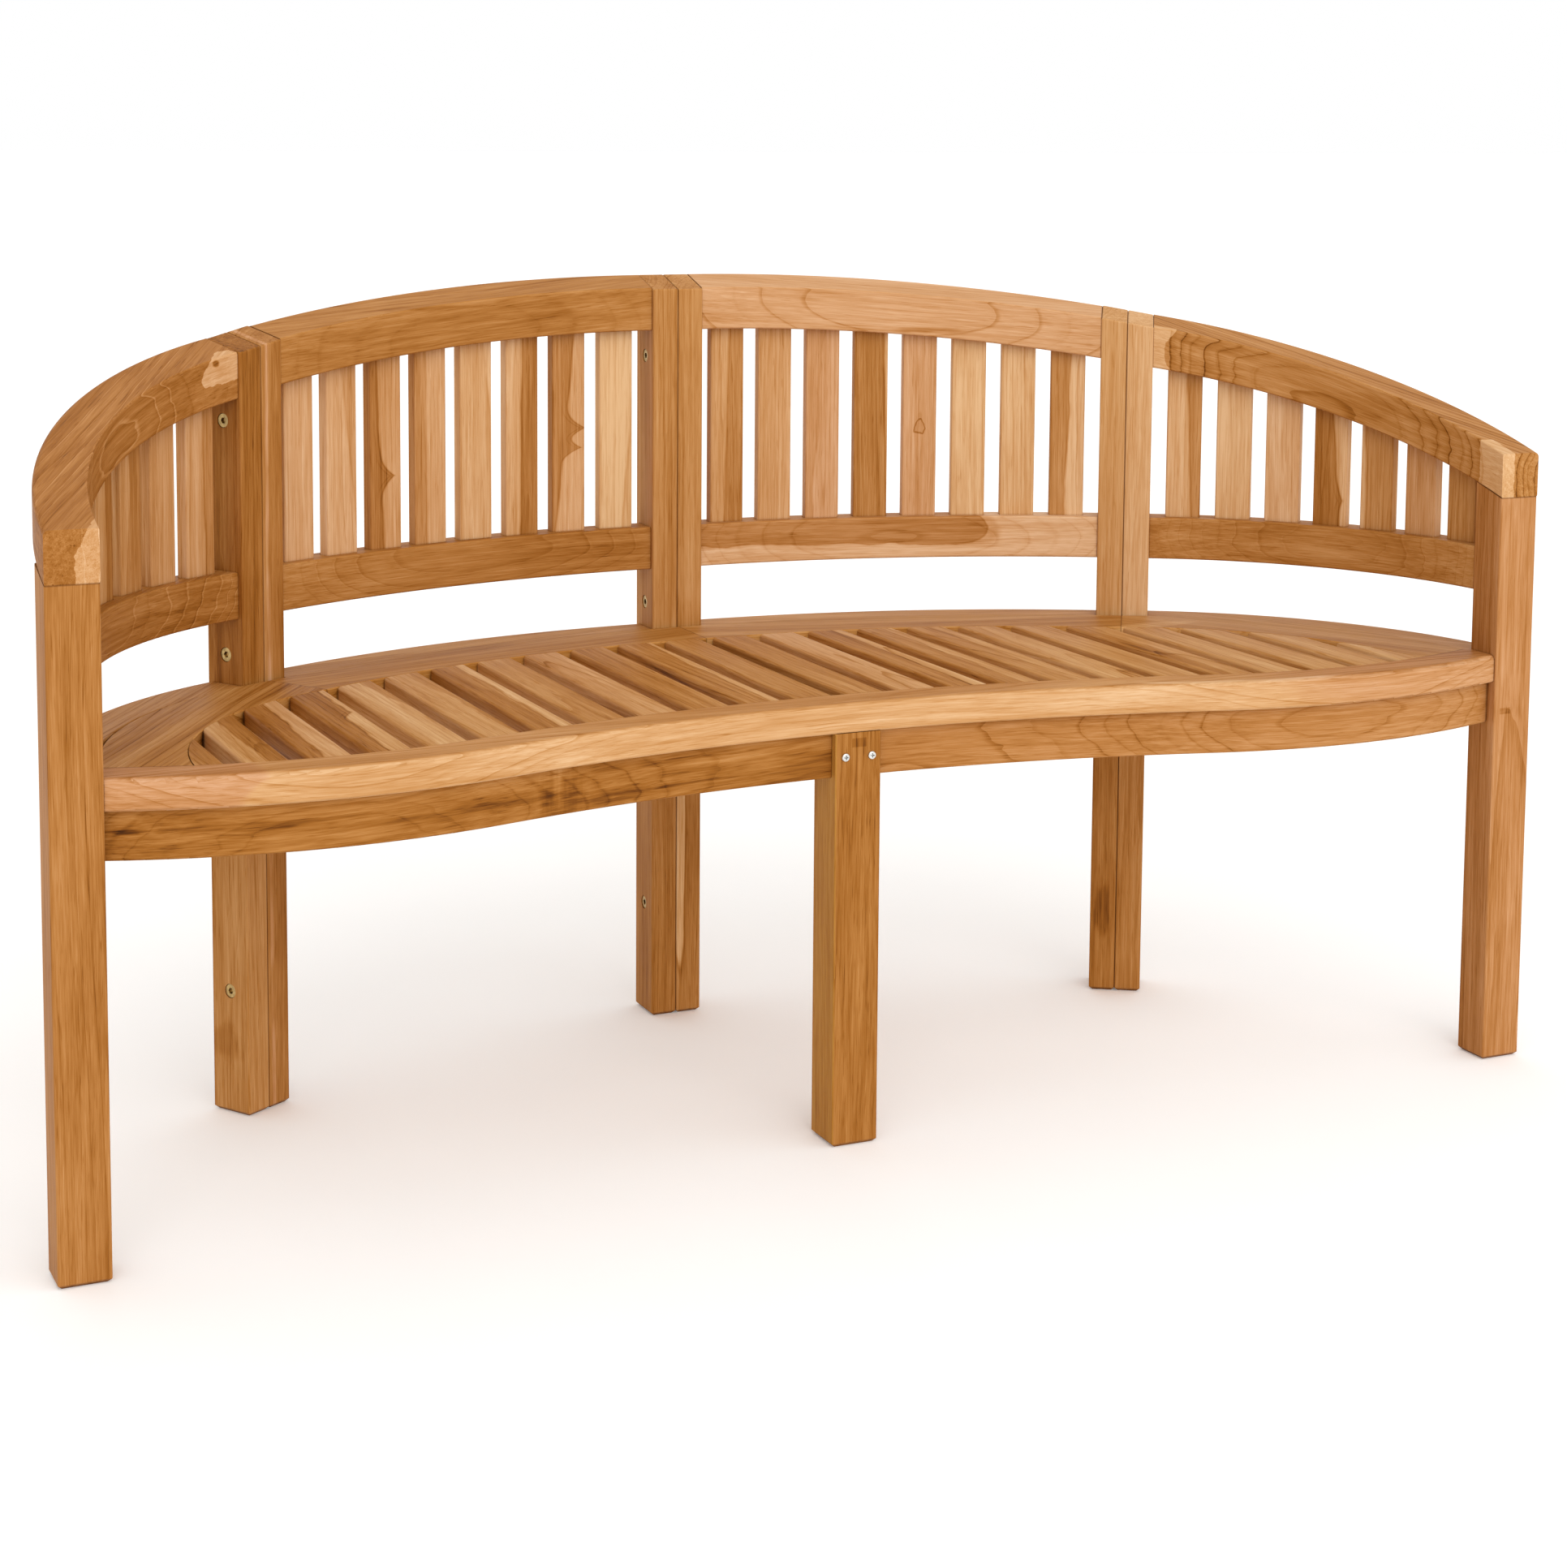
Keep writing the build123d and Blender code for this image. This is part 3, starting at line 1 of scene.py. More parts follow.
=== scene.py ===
import math
import bpy
from mathutils import Matrix, Vector

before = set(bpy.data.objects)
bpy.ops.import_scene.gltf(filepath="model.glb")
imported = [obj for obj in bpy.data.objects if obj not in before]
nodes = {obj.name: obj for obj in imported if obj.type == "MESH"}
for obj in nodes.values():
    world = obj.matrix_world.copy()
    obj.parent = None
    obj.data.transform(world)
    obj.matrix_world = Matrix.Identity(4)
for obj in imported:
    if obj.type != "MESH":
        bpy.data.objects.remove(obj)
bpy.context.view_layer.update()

scene = bpy.context.scene

# ------------------------------------------------------------------- camera
cam_data = bpy.data.cameras.new("camera")
cam = bpy.data.objects.new("camera", cam_data)
scene.collection.objects.link(cam)
cam_data.sensor_width = 36.0
cam_data.lens = 3522.976 / 1931.0 * 36.0
cam_data.shift_y = -440.0 / 1931.0
cam_right = Vector((0.90752735, -0.41992671, 0.00746111))
cam_up = Vector((0.03799455, 0.09977827, 0.99428402))
cam_back = Vector((-0.41827087, -0.90205646, 0.10650643))
place = Matrix((cam_right, cam_up, cam_back)).transposed().to_4x4()
place.translation = Vector((-1.24020539, -2.71252686, 1.02366825))
cam.matrix_world = place
cam_data.clip_end = 200.0
scene.camera = cam
scene.view_settings.view_transform = "Standard"


# ------------------------------------------------------------- node helpers
class Wire:
    """A node's output, with arithmetic."""

    def __init__(self, net, out):
        self.net, self.out = net, out

    def __add__(self, other):
        return self.net.math("ADD", self, other)

    def __sub__(self, other):
        return self.net.math("SUBTRACT", self, other)

    def __mul__(self, other):
        return self.net.math("MULTIPLY", self, other)

    def __truediv__(self, other):
        return self.net.math("DIVIDE", self, other)

    def __rsub__(self, other):
        return self.net.math("SUBTRACT", other, self)

    __radd__ = __add__
    __rmul__ = __mul__


class Net:
    """Short ways to add nodes to a tree."""

    def __init__(self, tree):
        self.tree = tree

    def node(self, kind, **props):
        made = self.tree.nodes.new(kind)
        for key, value in props.items():
            setattr(made, key, value)
        return made

    def feed(self, socket, value):
        if isinstance(value, Wire):
            self.tree.links.new(value.out, socket)
        elif value is not None:
            socket.default_value = value

    def math(self, op, a, b=None, c=None):
        made = self.node("ShaderNodeMath", operation=op)
        for socket, value in zip(made.inputs, (a, b, c)):
            self.feed(socket, value)
        return Wire(self, made.outputs[0])

    def vec(self, x, y, z):
        made = self.node("ShaderNodeCombineXYZ")
        for socket, value in zip(made.inputs, (x, y, z)):
            self.feed(socket, value)
        return Wire(self, made.outputs[0])

    def parts(self, v):
        made = self.node("ShaderNodeSeparateXYZ")
        self.feed(made.inputs[0], v)
        return [Wire(self, o) for o in made.outputs]

    def vmath(self, op, a, b=None):
        made = self.node("ShaderNodeVectorMath", operation=op)
        self.feed(made.inputs[0], a)
        self.feed(made.inputs[1], b)
        return Wire(self, made.outputs["Value" if op in ("LENGTH", "DOT_PRODUCT") else "Vector"])

    def noise(self, point, stretch=(1, 1, 1), detail=2.0, rough=0.5, colour=False):
        made = self.node("ShaderNodeTexNoise")
        self.feed(made.inputs["Vector"], self.vmath("MULTIPLY", point, stretch))
        made.inputs["Scale"].default_value = 1.0
        made.inputs["Detail"].default_value = detail
        made.inputs["Roughness"].default_value = rough
        return Wire(self, made.outputs["Color" if colour else "Fac"])

    def noise1(self, w, detail=1.0):
        made = self.node("ShaderNodeTexNoise", noise_dimensions="1D")
        self.feed(made.inputs["W"], w)
        made.inputs["Scale"].default_value = 1.0
        made.inputs["Detail"].default_value = detail
        return Wire(self, made.outputs["Fac"])

    def chance(self, w):
        made = self.node("ShaderNodeTexWhiteNoise", noise_dimensions="1D")
        self.feed(made.inputs["W"], w)
        return Wire(self, made.outputs["Value"])

    def rise(self, x, low, high):
        """Smooth climb from 0 at low to 1 at high."""
        made = self.node("ShaderNodeMapRange", interpolation_type="SMOOTHSTEP")
        self.feed(made.inputs["Value"], x)
        self.feed(made.inputs["From Min"], low)
        self.feed(made.inputs["From Max"], high)
        return Wire(self, made.outputs["Result"])

    def lerp(self, a, b, f):
        made = self.node("ShaderNodeMix", data_type="FLOAT")
        self.feed(made.inputs[0], f)
        self.feed(made.inputs[2], a)
        self.feed(made.inputs[3], b)
        return Wire(self, made.outputs[0])

    def ramp(self, x, stops):
        made = self.node("ShaderNodeValToRGB")
        ramp = made.color_ramp
        while len(ramp.elements) < len(stops):
            ramp.elements.new(0.5)
        for element, (at, colour) in zip(ramp.elements, stops):
            element.position = at
            element.color = (*colour, 1.0)
        self.feed(made.inputs[0], x)
        return Wire(self, made.outputs[0])

    def table(self, x, rows):
        """Three numbers from a table, by a place 0 to 1 along it."""
        made = self.node("ShaderNodeValToRGB")
        ramp = made.color_ramp
        ramp.interpolation = "CONSTANT"
        while len(ramp.elements) < len(rows):
            ramp.elements.new(0.5)
        for i, row in enumerate(rows):
            ramp.elements[i].position = i / len(rows)
            ramp.elements[i].color = (*row, 1.0)
        self.feed(made.inputs[0], x)
        apart = self.node("ShaderNodeSeparateColor")
        self.tree.links.new(made.outputs[0], apart.inputs[0])
        return [Wire(self, o) for o in apart.outputs]

    def spot(self, point, centre, radii, inner, outer, wobble=0.0, grain=(30, 30, 30)):
        """1 inside an ellipsoid about centre, 0 outside, with a wavy edge."""
        away = self.vmath("SUBTRACT", point, centre)
        far = self.vmath("LENGTH", self.vmath("DIVIDE", away, radii))
        if wobble:
            far = far + (self.noise(point, grain, 2.0) - 0.5) * wobble
        return 1.0 - self.rise(far, inner, outer)

    def poly(self, a, b, corners, soft, wobble=None, rounding=0.004):
        """1 inside a convex outline in the plane a, b, its corners in turn."""
        least = None
        for (a0, b0), (a1, b1) in zip(corners, corners[1:] + corners[:1]):
            far = math.hypot(a1 - a0, b1 - b0)
            na, nb = (b0 - b1) / far, (a1 - a0) / far
            depth = a * na + b * nb - (a0 * na + b0 * nb)
            least = depth if least is None else self.math("SMOOTH_MIN", least, depth, rounding)
        if wobble is not None:
            least = least + wobble
        return self.rise(least, -soft, soft)

    def lines(self, point, planes, wide=0.0011):
        """1 on thin lines where the given upright planes cut the surface."""
        most = None
        for (px, py), (nx, ny) in planes:
            off = self.vmath("DOT_PRODUCT", point, (nx, ny, 0.0)) - (px * nx + py * ny)
            line = self.rise(self.math("ABSOLUTE", off), wide, wide * 0.25)
            most = line if most is None else self.math("MAXIMUM", most, line)
        return most


# ---------------------------------------------------------------- the timber
# Colours of oiled teak from dark heartwood figure to pale sapwood, linear.
TEAK = (
    (0.00, (0.040, 0.012, 0.002)),
    (0.18, (0.145, 0.043, 0.004)),
    (0.36, (0.295, 0.105, 0.014)),
    (0.52, (0.405, 0.171, 0.040)),
    (0.68, (0.508, 0.250, 0.084)),
    (0.84, (0.605, 0.342, 0.150)),
    (1.00, (0.710, 0.465, 0.250)),
)


def make_teak():
    """Solid timber about a pith on the local Z axis: growth rings with porous
    early wood, streaks, sapwood, fibres and pores."""
    tree = bpy.data.node_groups.new("teak", "ShaderNodeTree")
    face = tree.interface
    face.new_socket(name="Point", in_out="INPUT", socket_type="NodeSocketVector")
    face.new_socket(name="Flow", in_out="INPUT", socket_type="NodeSocketVector")
    for name in ("Seed", "Tone", "Hue", "Ring", "Lines", "Streak", "Wave", "Sap", "SapTone", "Taper", "End", "MarkAndShade", "Curl", "Patch", "Hair"):
        face.new_socket(name=name, in_out="INPUT", socket_type="NodeSocketFloat")
    face.new_socket(name="Color", in_out="OUTPUT", socket_type="NodeSocketColor")
    face.new_socket(name="Rough", in_out="OUTPUT", socket_type="NodeSocketFloat")
    face.new_socket(name="Height", in_out="OUTPUT", socket_type="NodeSocketFloat")
    n = Net(tree)
    inlet = n.node("NodeGroupInput")
    i = {o.name: Wire(n, o) for o in inlet.outputs if o.name}
    seed = i["Seed"]
    q = n.vmath("ADD", i["Point"], n.vec(seed * 1.37, seed * 2.11, seed * 0.73))
    # the log is not a true cylinder: slow bends and small waves along the grain
    bend = n.vmath("SUBTRACT", n.noise(q, (7, 7, 1.6), 1.5, colour=True), (0.5, 0.5, 0.5))
    ripple = n.vmath("SUBTRACT", n.noise(q, (42, 42, 7), 2.0, colour=True), (0.5, 0.5, 0.5))
    bu, bv, _ = n.parts(bend)
    ru, rv, _ = n.parts(ripple)
    u, v, w = n.parts(i["Point"])
    u = u + (bu * 2.4 + ru * i["Curl"]) * i["Wave"]
    v = v + (bv * 2.4 + rv * i["Curl"]) * i["Wave"]
    r = n.math("SQRT", u * u + v * v) + w * i["Taper"]
    # rings of uneven width and uneven strength
    turn = r / i["Ring"]
    turn = turn + (n.noise1(turn * 0.28 + seed * 3.1) - 0.5) * 1.6
    ring = n.math("FLOOR", turn)
    part = turn - ring
    luck = n.chance(ring + seed * 7.7)
    early = 1.0 - n.rise(part, 0.0, 0.22)
    late = n.rise(part, 0.30, 1.0)
    edge = n.rise(part, 0.84, 0.96)
    figure = (early * 0.36 + late * 0.30 + edge * 0.60) * (luck * luck * 0.95 + 0.22) + (n.noise1(turn * 0.17 + seed * 1.3) - 0.5) * 0.7
    hair = n.rise(part, 0.13, 0.02) * n.rise(luck, 0.15, 0.6)
    # streaks and fine straight grain
    fu, fv, fw = n.parts(i["Flow"])
    flow = n.vec(fu + (bu * 2.4 + ru * i["Curl"]) * i["Wave"], fv + (bv * 2.4 + rv * i["Curl"]) * i["Wave"], fw)
    flow = n.vmath("ADD", flow, n.vec(seed * 0.71, seed * 1.93, seed * 1.17))
    broad = n.noise(flow, (24, 24, 1.8), 2.0) - 0.5
    narrow = n.noise(flow, (85, 85, 3.2), 3.0) - 0.5
    fine = n.noise(flow, (250, 250, 5.5), 4.0, 0.65) - 0.5
    vein = n.rise(n.noise(flow, (130, 130, 2.2), 2.0), 0.66, 0.78)
    fleck = n.rise(n.noise(flow, (430, 430, 13), 2.0), 0.61, 0.73)
    blotch = n.noise(q, (11, 11, 6), 3.0) - 0.5
    grit = n.vmath("ADD", i["Flow"], n.vec(seed * 1.37, seed * 2.11, seed * 0.73))
    fibre = n.noise(grit, (900, 900, 26), 2.0) - 0.5
    pore = n.rise(n.noise(grit, (1000, 1000, 42), 1.0), 0.60, 0.74) * (early * 0.5 + 0.5)
    # sapwood outside the heart, with a thin dark line where they meet
    skin = r - i["Sap"] + (ru * 0.5 + narrow * 0.8) * 0.004
    sap = n.math("MAXIMUM", n.rise(skin, -0.0009, 0.0009), i["Patch"])
    rim = n.rise(skin, -0.0042, -0.0004) * (1.0 - sap) + i["Patch"] * (1.0 - i["Patch"]) * 4.0
    tone = n.lerp(i["Tone"] - rim * 0.10, i["SapTone"], sap)
    calm = 1.0 - sap * 0.55
    tone = tone - figure * (i["Lines"] + i["End"] * 0.10) * calm + i["Lines"] * 0.16 + hair * i["Hair"]
    tone = tone + (broad * 1.10 + narrow * 1.10 - vein * 0.60) * i["Streak"] * calm
    tone = tone + blotch * 0.18 + fine * 0.48 + fibre * 0.30 - pore * 0.17 - fleck * 0.11 + 0.045
    tone = tone - i["End"] * 0.12 - i["MarkAndShade"]
    tone = n.math("MINIMUM", n.math("MAXIMUM", tone, 0.0), 1.0)
    colour = n.ramp(tone, TEAK)
    apart = n.node("ShaderNodeSeparateColor")
    n.feed(apart.inputs[0], colour)
    red, green, blue = [Wire(n, o) for o in apart.outputs]
    together = n.node("ShaderNodeCombineColor")
    n.feed(together.inputs[0], red * (i["Hue"] * 0.03 + 1.0))
    n.feed(together.inputs[1], green * (i["Hue"] * 0.02 + 1.0))
    n.feed(together.inputs[2], blue * (i["Hue"] * 0.34 + 1.0))
    out = n.node("NodeGroupOutput")
    n.feed(out.inputs["Color"], Wire(n, together.outputs[0]))
    n.feed(out.inputs["Rough"], n.math("MINIMUM", fibre * 0.30 + figure * 0.10 + blotch * 0.12 + sap * 0.04 + pore * 0.15 + 0.50, 0.85))
    n.feed(out.inputs["Height"], fine * 0.5 + fibre * 0.55 - pore * 0.8 - early * 0.35)
    return tree


TIMBER = make_teak()
USUAL = dict(Seed=1.0, Tone=0.55, Hue=0.0, Ring=0.0042, Lines=0.22, Streak=0.28, Wave=0.010, Sap=9.0, SapTone=0.90, Taper=0.0, End=0.0, MarkAndShade=0.0, Curl=0.34, Patch=0.0, Hair=0.05)


def begin(name):
    mat = bpy.data.materials.new(name)
    mat.use_nodes = True
    mat.node_tree.nodes.clear()
    n = Net(mat.node_tree)
    point = Wire(n, n.node("ShaderNodeTexCoord").outputs["Object"])
    return mat, n, point


def close(n, local, grain, values):
    """Ends a timber material: the wood itself, dark joint lines and painted shade in corners and between parts, satin
    oil.
    """
    wood = n.node("ShaderNodeGroup", node_tree=TIMBER)
    n.feed(wood.inputs["Point"], local)
    facing = Wire(n, n.node("ShaderNodeNewGeometry").outputs["True Normal"])
    along = n.math("ABSOLUTE", n.vmath("DOT_PRODUCT", facing, grain))
    values = dict(values, End=n.rise(along, 0.80, 0.97) * values.get("Cut", 0.35))
    values.pop("Cut", None)
    # on the upright faces of a curved piece the fibres run out slowly
    flow = local
    if values.pop("Curved", False):
        up = n.math("ABSOLUTE", n.parts(facing)[2])
        free = n.math("MAXIMUM", n.rise(up, 0.45, 0.70), n.rise(along, 0.62, 0.80))
        lu, lv, lw = n.parts(local)
        flow = n.vec(lu * n.lerp(0.22, 1.0, free), lv, lw)
    n.feed(wood.inputs["Flow"], flow)
    seam = values.pop("Seam", None)
    shade = values.pop("Shade", 0.85)
    for key, usual in USUAL.items():
        n.feed(wood.inputs[key], values.get(key, usual))
    # painted shade: ambient occlusion within 5 mm darkens corners, creases and gaps between parts towards dark brown;
    # the seam lines add dark joint lines
    ao_shade = n.node("ShaderNodeAmbientOcclusion", samples=6)
    ao_shade.inputs["Distance"].default_value = 0.005
    joint = n.rise(Wire(n, ao_shade.outputs["AO"]), 0.66, 0.14)
    if seam is not None:
        joint = n.math("MAXIMUM", joint, seam * 0.62)
    dark = n.node("ShaderNodeMix", data_type="RGBA", blend_type="MULTIPLY")
    n.feed(dark.inputs[0], joint * shade)
    n.feed(dark.inputs[6], Wire(n, wood.outputs["Color"]))
    dark.inputs[7].default_value = (0.20, 0.115, 0.06, 1.0)
    bump = n.node("ShaderNodeBump")
    bump.inputs["Strength"].default_value = 0.40
    bump.inputs["Distance"].default_value = 0.0004
    n.feed(bump.inputs["Height"], Wire(n, wood.outputs["Height"]))
    skin = n.node("ShaderNodeBsdfPrincipled")
    n.feed(skin.inputs["Base Color"], Wire(n, dark.outputs[2]))
    n.feed(skin.inputs["Roughness"], Wire(n, wood.outputs["Rough"]))
    n.feed(skin.inputs["Normal"], Wire(n, bump.outputs[0]))
    skin.inputs["Specular IOR Level"].default_value = 0.07
    end = n.node("ShaderNodeOutputMaterial")
    n.tree.links.new(skin.outputs[0], end.inputs["Surface"])


def dress(mat, *names):
    for name in names:
        held = nodes[name].data.materials
        held.clear()
        held.append(mat)


def timber(name, pith, grain, across, paint=None, **values):
    """One piece of straight-grained timber sawn from a log with the given pith."""
    w = Vector(grain).normalized()
    u = Vector(across)
    u = (u - w * u.dot(w)).normalized()
    v = w.cross(u)
    mat, n, point = begin("teak_" + name)
    turned = n.node("ShaderNodeMapping", vector_type="TEXTURE")
    n.feed(turned.inputs["Vector"], point)
    turned.inputs["Location"].default_value = pith
    turned.inputs["Rotation"].default_value = Matrix((u, v, w)).transposed().to_euler("XYZ")
    local = Wire(n, turned.outputs[0])
    if paint:
        values = dict(values)
        paint(n, point, local, values)
    close(n, local, tuple(w), values)
    dress(mat, name)


def bent(name, side, panel, radius, level, out, up, slope=0.0, paint=None, **values):
    """A rail sawn in a curve from a plank: the grain runs along its chord, and
    the pith lies out beyond the chord's middle."""
    cx, cy, a0, a1 = (0.030, -0.711, 0.0, 0.4951) if panel == "centre" else (0.342, -0.255, 0.4603, 1.5708)
    ends = []
    for a in (a0, 0.5 * (a0 + a1), a1):
        y = cy + radius * math.cos(a)
        ends.append(Vector((side * (cx + radius * math.sin(a)), y, level + slope * y)))
    chord = ends[2] - ends[0]
    middle = 0.5 * (ends[0] + ends[2])
    away = ends[1] - middle
    away.z = 0.0
    away.normalize()
    pith = middle + away * out + Vector((0.0, 0.0, up))
    slant = (side * 0.848048, -0.529919)
    if name.startswith("seat_back"):
        planes = [((side * 0.5095, 0.117), slant), ((0.0, 0.0), (1.0, 0.0))]
    elif panel == "centre":
        planes = [((side * 0.030, 0.0), (1.0, 0.0)), ((side * 0.48406, 0.13290), slant)]
    else:
        planes = [((side * 0.53494, 0.10110), slant)] + ([] if slope else [((0.0, -0.219), (0.0, 1.0))])

    def mark(n, point, local, values):
        values["Seam"] = n.lines(point, planes)
        if paint:
            paint(n, point, local, values)

    timber(name, pith, chord, away, mark, Curved=True, **values)


# ------------------------------------------------------------------ top rails
def around(n, point, side):
    """Where a point lies along a side panel: run from the post's joint, distance
    from the curve's centre, height over the rail's lower face."""
    x, y, z = n.parts(point)
    ox, oy = x * float(side) - 0.342, y + 0.255
    run = (n.math("ARCTAN2", ox, oy) - 0.4603) * 0.408
    return run, n.math("SQRT", ox * ox + oy * oy), z - y * 0.32 - 0.7081


def cap_line(n, point, high):
    """The joint between a top rail's front end and the post under it."""
    x, y, z = n.parts(point)
    return n.rise(n.math("ABSOLUTE", high), 0.0013, 0.0003) * n.rise(y, -0.212, -0.216)


def rail_1(n, point, local, values):
    x, y, z = n.parts(point)
    run, out, high = around(n, point, -1)
    flat = high + n.math("MAXIMUM", out - 0.408, 0.0)
    wobble = (n.noise(point, (120, 120, 120), 2.0) - 0.5) * 0.006
    patch = n.poly(run, flat, [(0.0095, 0.0222), (0.030, 0.021), (0.0623, 0.0225), (0.0657, 0.031), (0.0584, 0.042), (0.0523, 0.049), (0.032, 0.060), (0.0191, 0.0565), (0.0105, 0.0295)], 0.0005, wobble, 0.002)
    edge = n.math("MAXIMUM", high - 0.026, 0.0) * 0.55 + (y + 0.263) * 0.45 - 0.7715
    cap = n.rise(x - edge + wobble * 1.2, -0.0005, 0.0005) * n.rise(y, -0.230, -0.240)
    knot = n.spot(point, (-0.5620, 0.0880, 0.7795), (0.0052, 0.0052, 0.0040), 0.5, 1.2, 0.5, (200, 200, 200))
    dim = n.spot(point, (-0.5560, 0.0940, 0.7720), (0.018, 0.018, 0.012), 0.2, 1.0, 0.6, (90, 90, 90))
    values["Patch"] = n.math("MAXIMUM", patch, cap)
    values["SapTone"] = n.lerp(0.74, 0.67, cap)
    values["MarkAndShade"] = knot * 0.42 + dim * 0.05
    values["Seam"] = n.math("MAXIMUM", values["Seam"], cap_line(n, point, high))


def rail_2(n, point, local, values):
    streak = n.spot(point, (-0.302, 0.2097, 0.8215), (0.095, 0.05, 0.0034), 0.1, 1.1, 1.0, (50, 50, 200))
    low = n.spot(point, (-0.190, 0.232, 0.8080), (0.150, 0.06, 0.0080), 0.1, 1.1, 1.2, (25, 25, 120))
    values["MarkAndShade"] = streak * 0.16 + low * 0.07


def rail_3(n, point, local, values):
    smudge = n.spot(point, (0.300, 0.209, 0.7840), (0.060, 0.05, 0.0042), 0.1, 1.1, 1.0, (45, 45, 190))
    corner = n.spot(point, (0.050, 0.255, 0.8000), (0.050, 0.05, 0.0200), 0.2, 1.1, 0.8, (40, 40, 70))
    values["MarkAndShade"] = smudge * 0.22 + corner * 0.06


def rail_4(n, point, local, values):
    x, y, z = n.parts(point)
    run, out, high = around(n, point, 1)
    wobble = (n.noise(point, (90, 90, 90), 2.0) - 0.5) * 0.007
    bow = high - 0.020
    inside = n.rise(out, 0.418, 0.411)
    near = n.rise(run + wobble - bow * bow * 18.0, 0.0280, 0.0270) * inside
    end = n.rise(y + wobble, -0.2250, -0.2262) * n.rise(x + wobble, 0.7660, 0.7648)
    values["Patch"] = n.math("MAXIMUM", near, end)
    shade = n.spot(point, (0.7110, -0.0800, 0.7090), (0.030, 0.060, 0.018), 0.2, 1.1, 0.8, (40, 40, 60))
    values["MarkAndShade"] = shade * 0.08
    values["Seam"] = n.math("MAXIMUM", values["Seam"], cap_line(n, point, high))


TOP = 0.7321
bent("top_rail_left_side", -1, "side", 0.432, TOP, 0.130, 0.004, 0.32, rail_1, Seed=2.3, Tone=0.37, Ring=0.0080, Lines=0.13, Streak=0.22, Wave=0.013, Curl=0.62, Hair=0.20, Hue=0.25, Cut=1.3)
bent("top_rail_left_centre", -1, "centre", 0.983, TOP, 0.085, -0.012, 0.32, rail_2, Seed=5.1, Tone=0.47, Ring=0.0070, Lines=0.12, Streak=0.18, Wave=0.009, Curl=0.35, Hair=-0.08)
bent("top_rail_right_centre", 1, "centre", 0.983, TOP, 0.080, 0.006, 0.32, rail_3, Seed=9.4, Tone=0.71, Ring=0.0075, Lines=0.08, Streak=0.10, Wave=0.007, Hue=0.45, Curl=0.3, Hair=-0.16)
bent("top_rail_right_side", 1, "side", 0.432, TOP, 0.118, -0.004, 0.32, rail_4, Seed=12.6, Tone=0.46, Ring=0.0060, Lines=0.37, Streak=0.24, Wave=0.015, SapTone=0.74, Hue=0.1, Curl=0.5)


# ---------------------------------------------------------------- lower rails
def low_3(n, point, local, values):
    x, y, z = n.parts(point)
    wobble = (n.noise(point, (22, 22, 60), 3.0) - 0.5) * 0.010
    core = [(-0.10, 0.5415), (0.240, 0.5340), (0.335, 0.5315), (0.360, 0.5370), (0.371, 0.5470), (0.369, 0.5560), (0.354, 0.5720), (-0.10, 0.5780)]
    heart = n.poly(x, z, core, 0.0016, wobble, 0.010)
    halo = n.poly(x, z, [(a + 0.014 * (a > 0), b - 0.003) for a, b in core], 0.0036, wobble, 0.012)
    values["Tone"] = n.lerp(n.lerp(0.85, 0.72, halo), 0.51, heart) - heart * (1.0 - heart) * 0.6


def low_1(n, point, local, values):
    shade = n.spot(point, (-0.745, -0.120, 0.540), (0.05, 0.070, 0.030), 0.2, 1.1, 0.7, (30, 30, 50))
    values["MarkAndShade"] = shade * 0.10


LOW = 0.542
bent("lower_rail_left_side", -1, "side", 0.430, LOW, 0.120, 0.010, 0.0, low_1, Seed=3.9, Tone=0.39, Ring=0.0072, Lines=0.13, Streak=0.24, Wave=0.013, Curl=0.62, Hair=0.18, Hue=0.1)
bent("lower_rail_left_centre", -1, "centre", 0.981, LOW, 0.080, 0.012, 0.0, None, Seed=15.2, Tone=0.45, Ring=0.0060, Lines=0.11, Streak=0.26)
bent("lower_rail_right_centre", 1, "centre", 0.981, LOW, 0.078, 0.004, 0.0, low_3, Seed=6.6, Ring=0.0064, Lines=0.06, Streak=0.20, Hue=0.3, Hair=-0.07)
bent("lower_rail_right_side", 1, "side", 0.430, LOW, 0.120, 0.010, 0.0, None, Seed=8.8, Tone=0.51, Ring=0.0062, Lines=0.14, Streak=0.26, Wave=0.014, Curl=0.6)


def seat_back(n, point, local, values):
    x, y, z = n.parts(point)
    side = n.math("ABSOLUTE", x) - 0.545
    off = n.math("SQRT", side * side + (y - 0.321) * (y - 0.321)) - 0.573
    values["Seam"] = n.math("MAXIMUM", values["Seam"], n.rise(n.math("ABSOLUTE", off), 0.0014, 0.0004))
    pale = n.spot(point, (0.500, 0.045, 0.452), (0.075, 0.016, 0.02), 0.5, 1.05, 0.7, (30, 30, 30))
    values["MarkAndShade"] = pale * -0.16


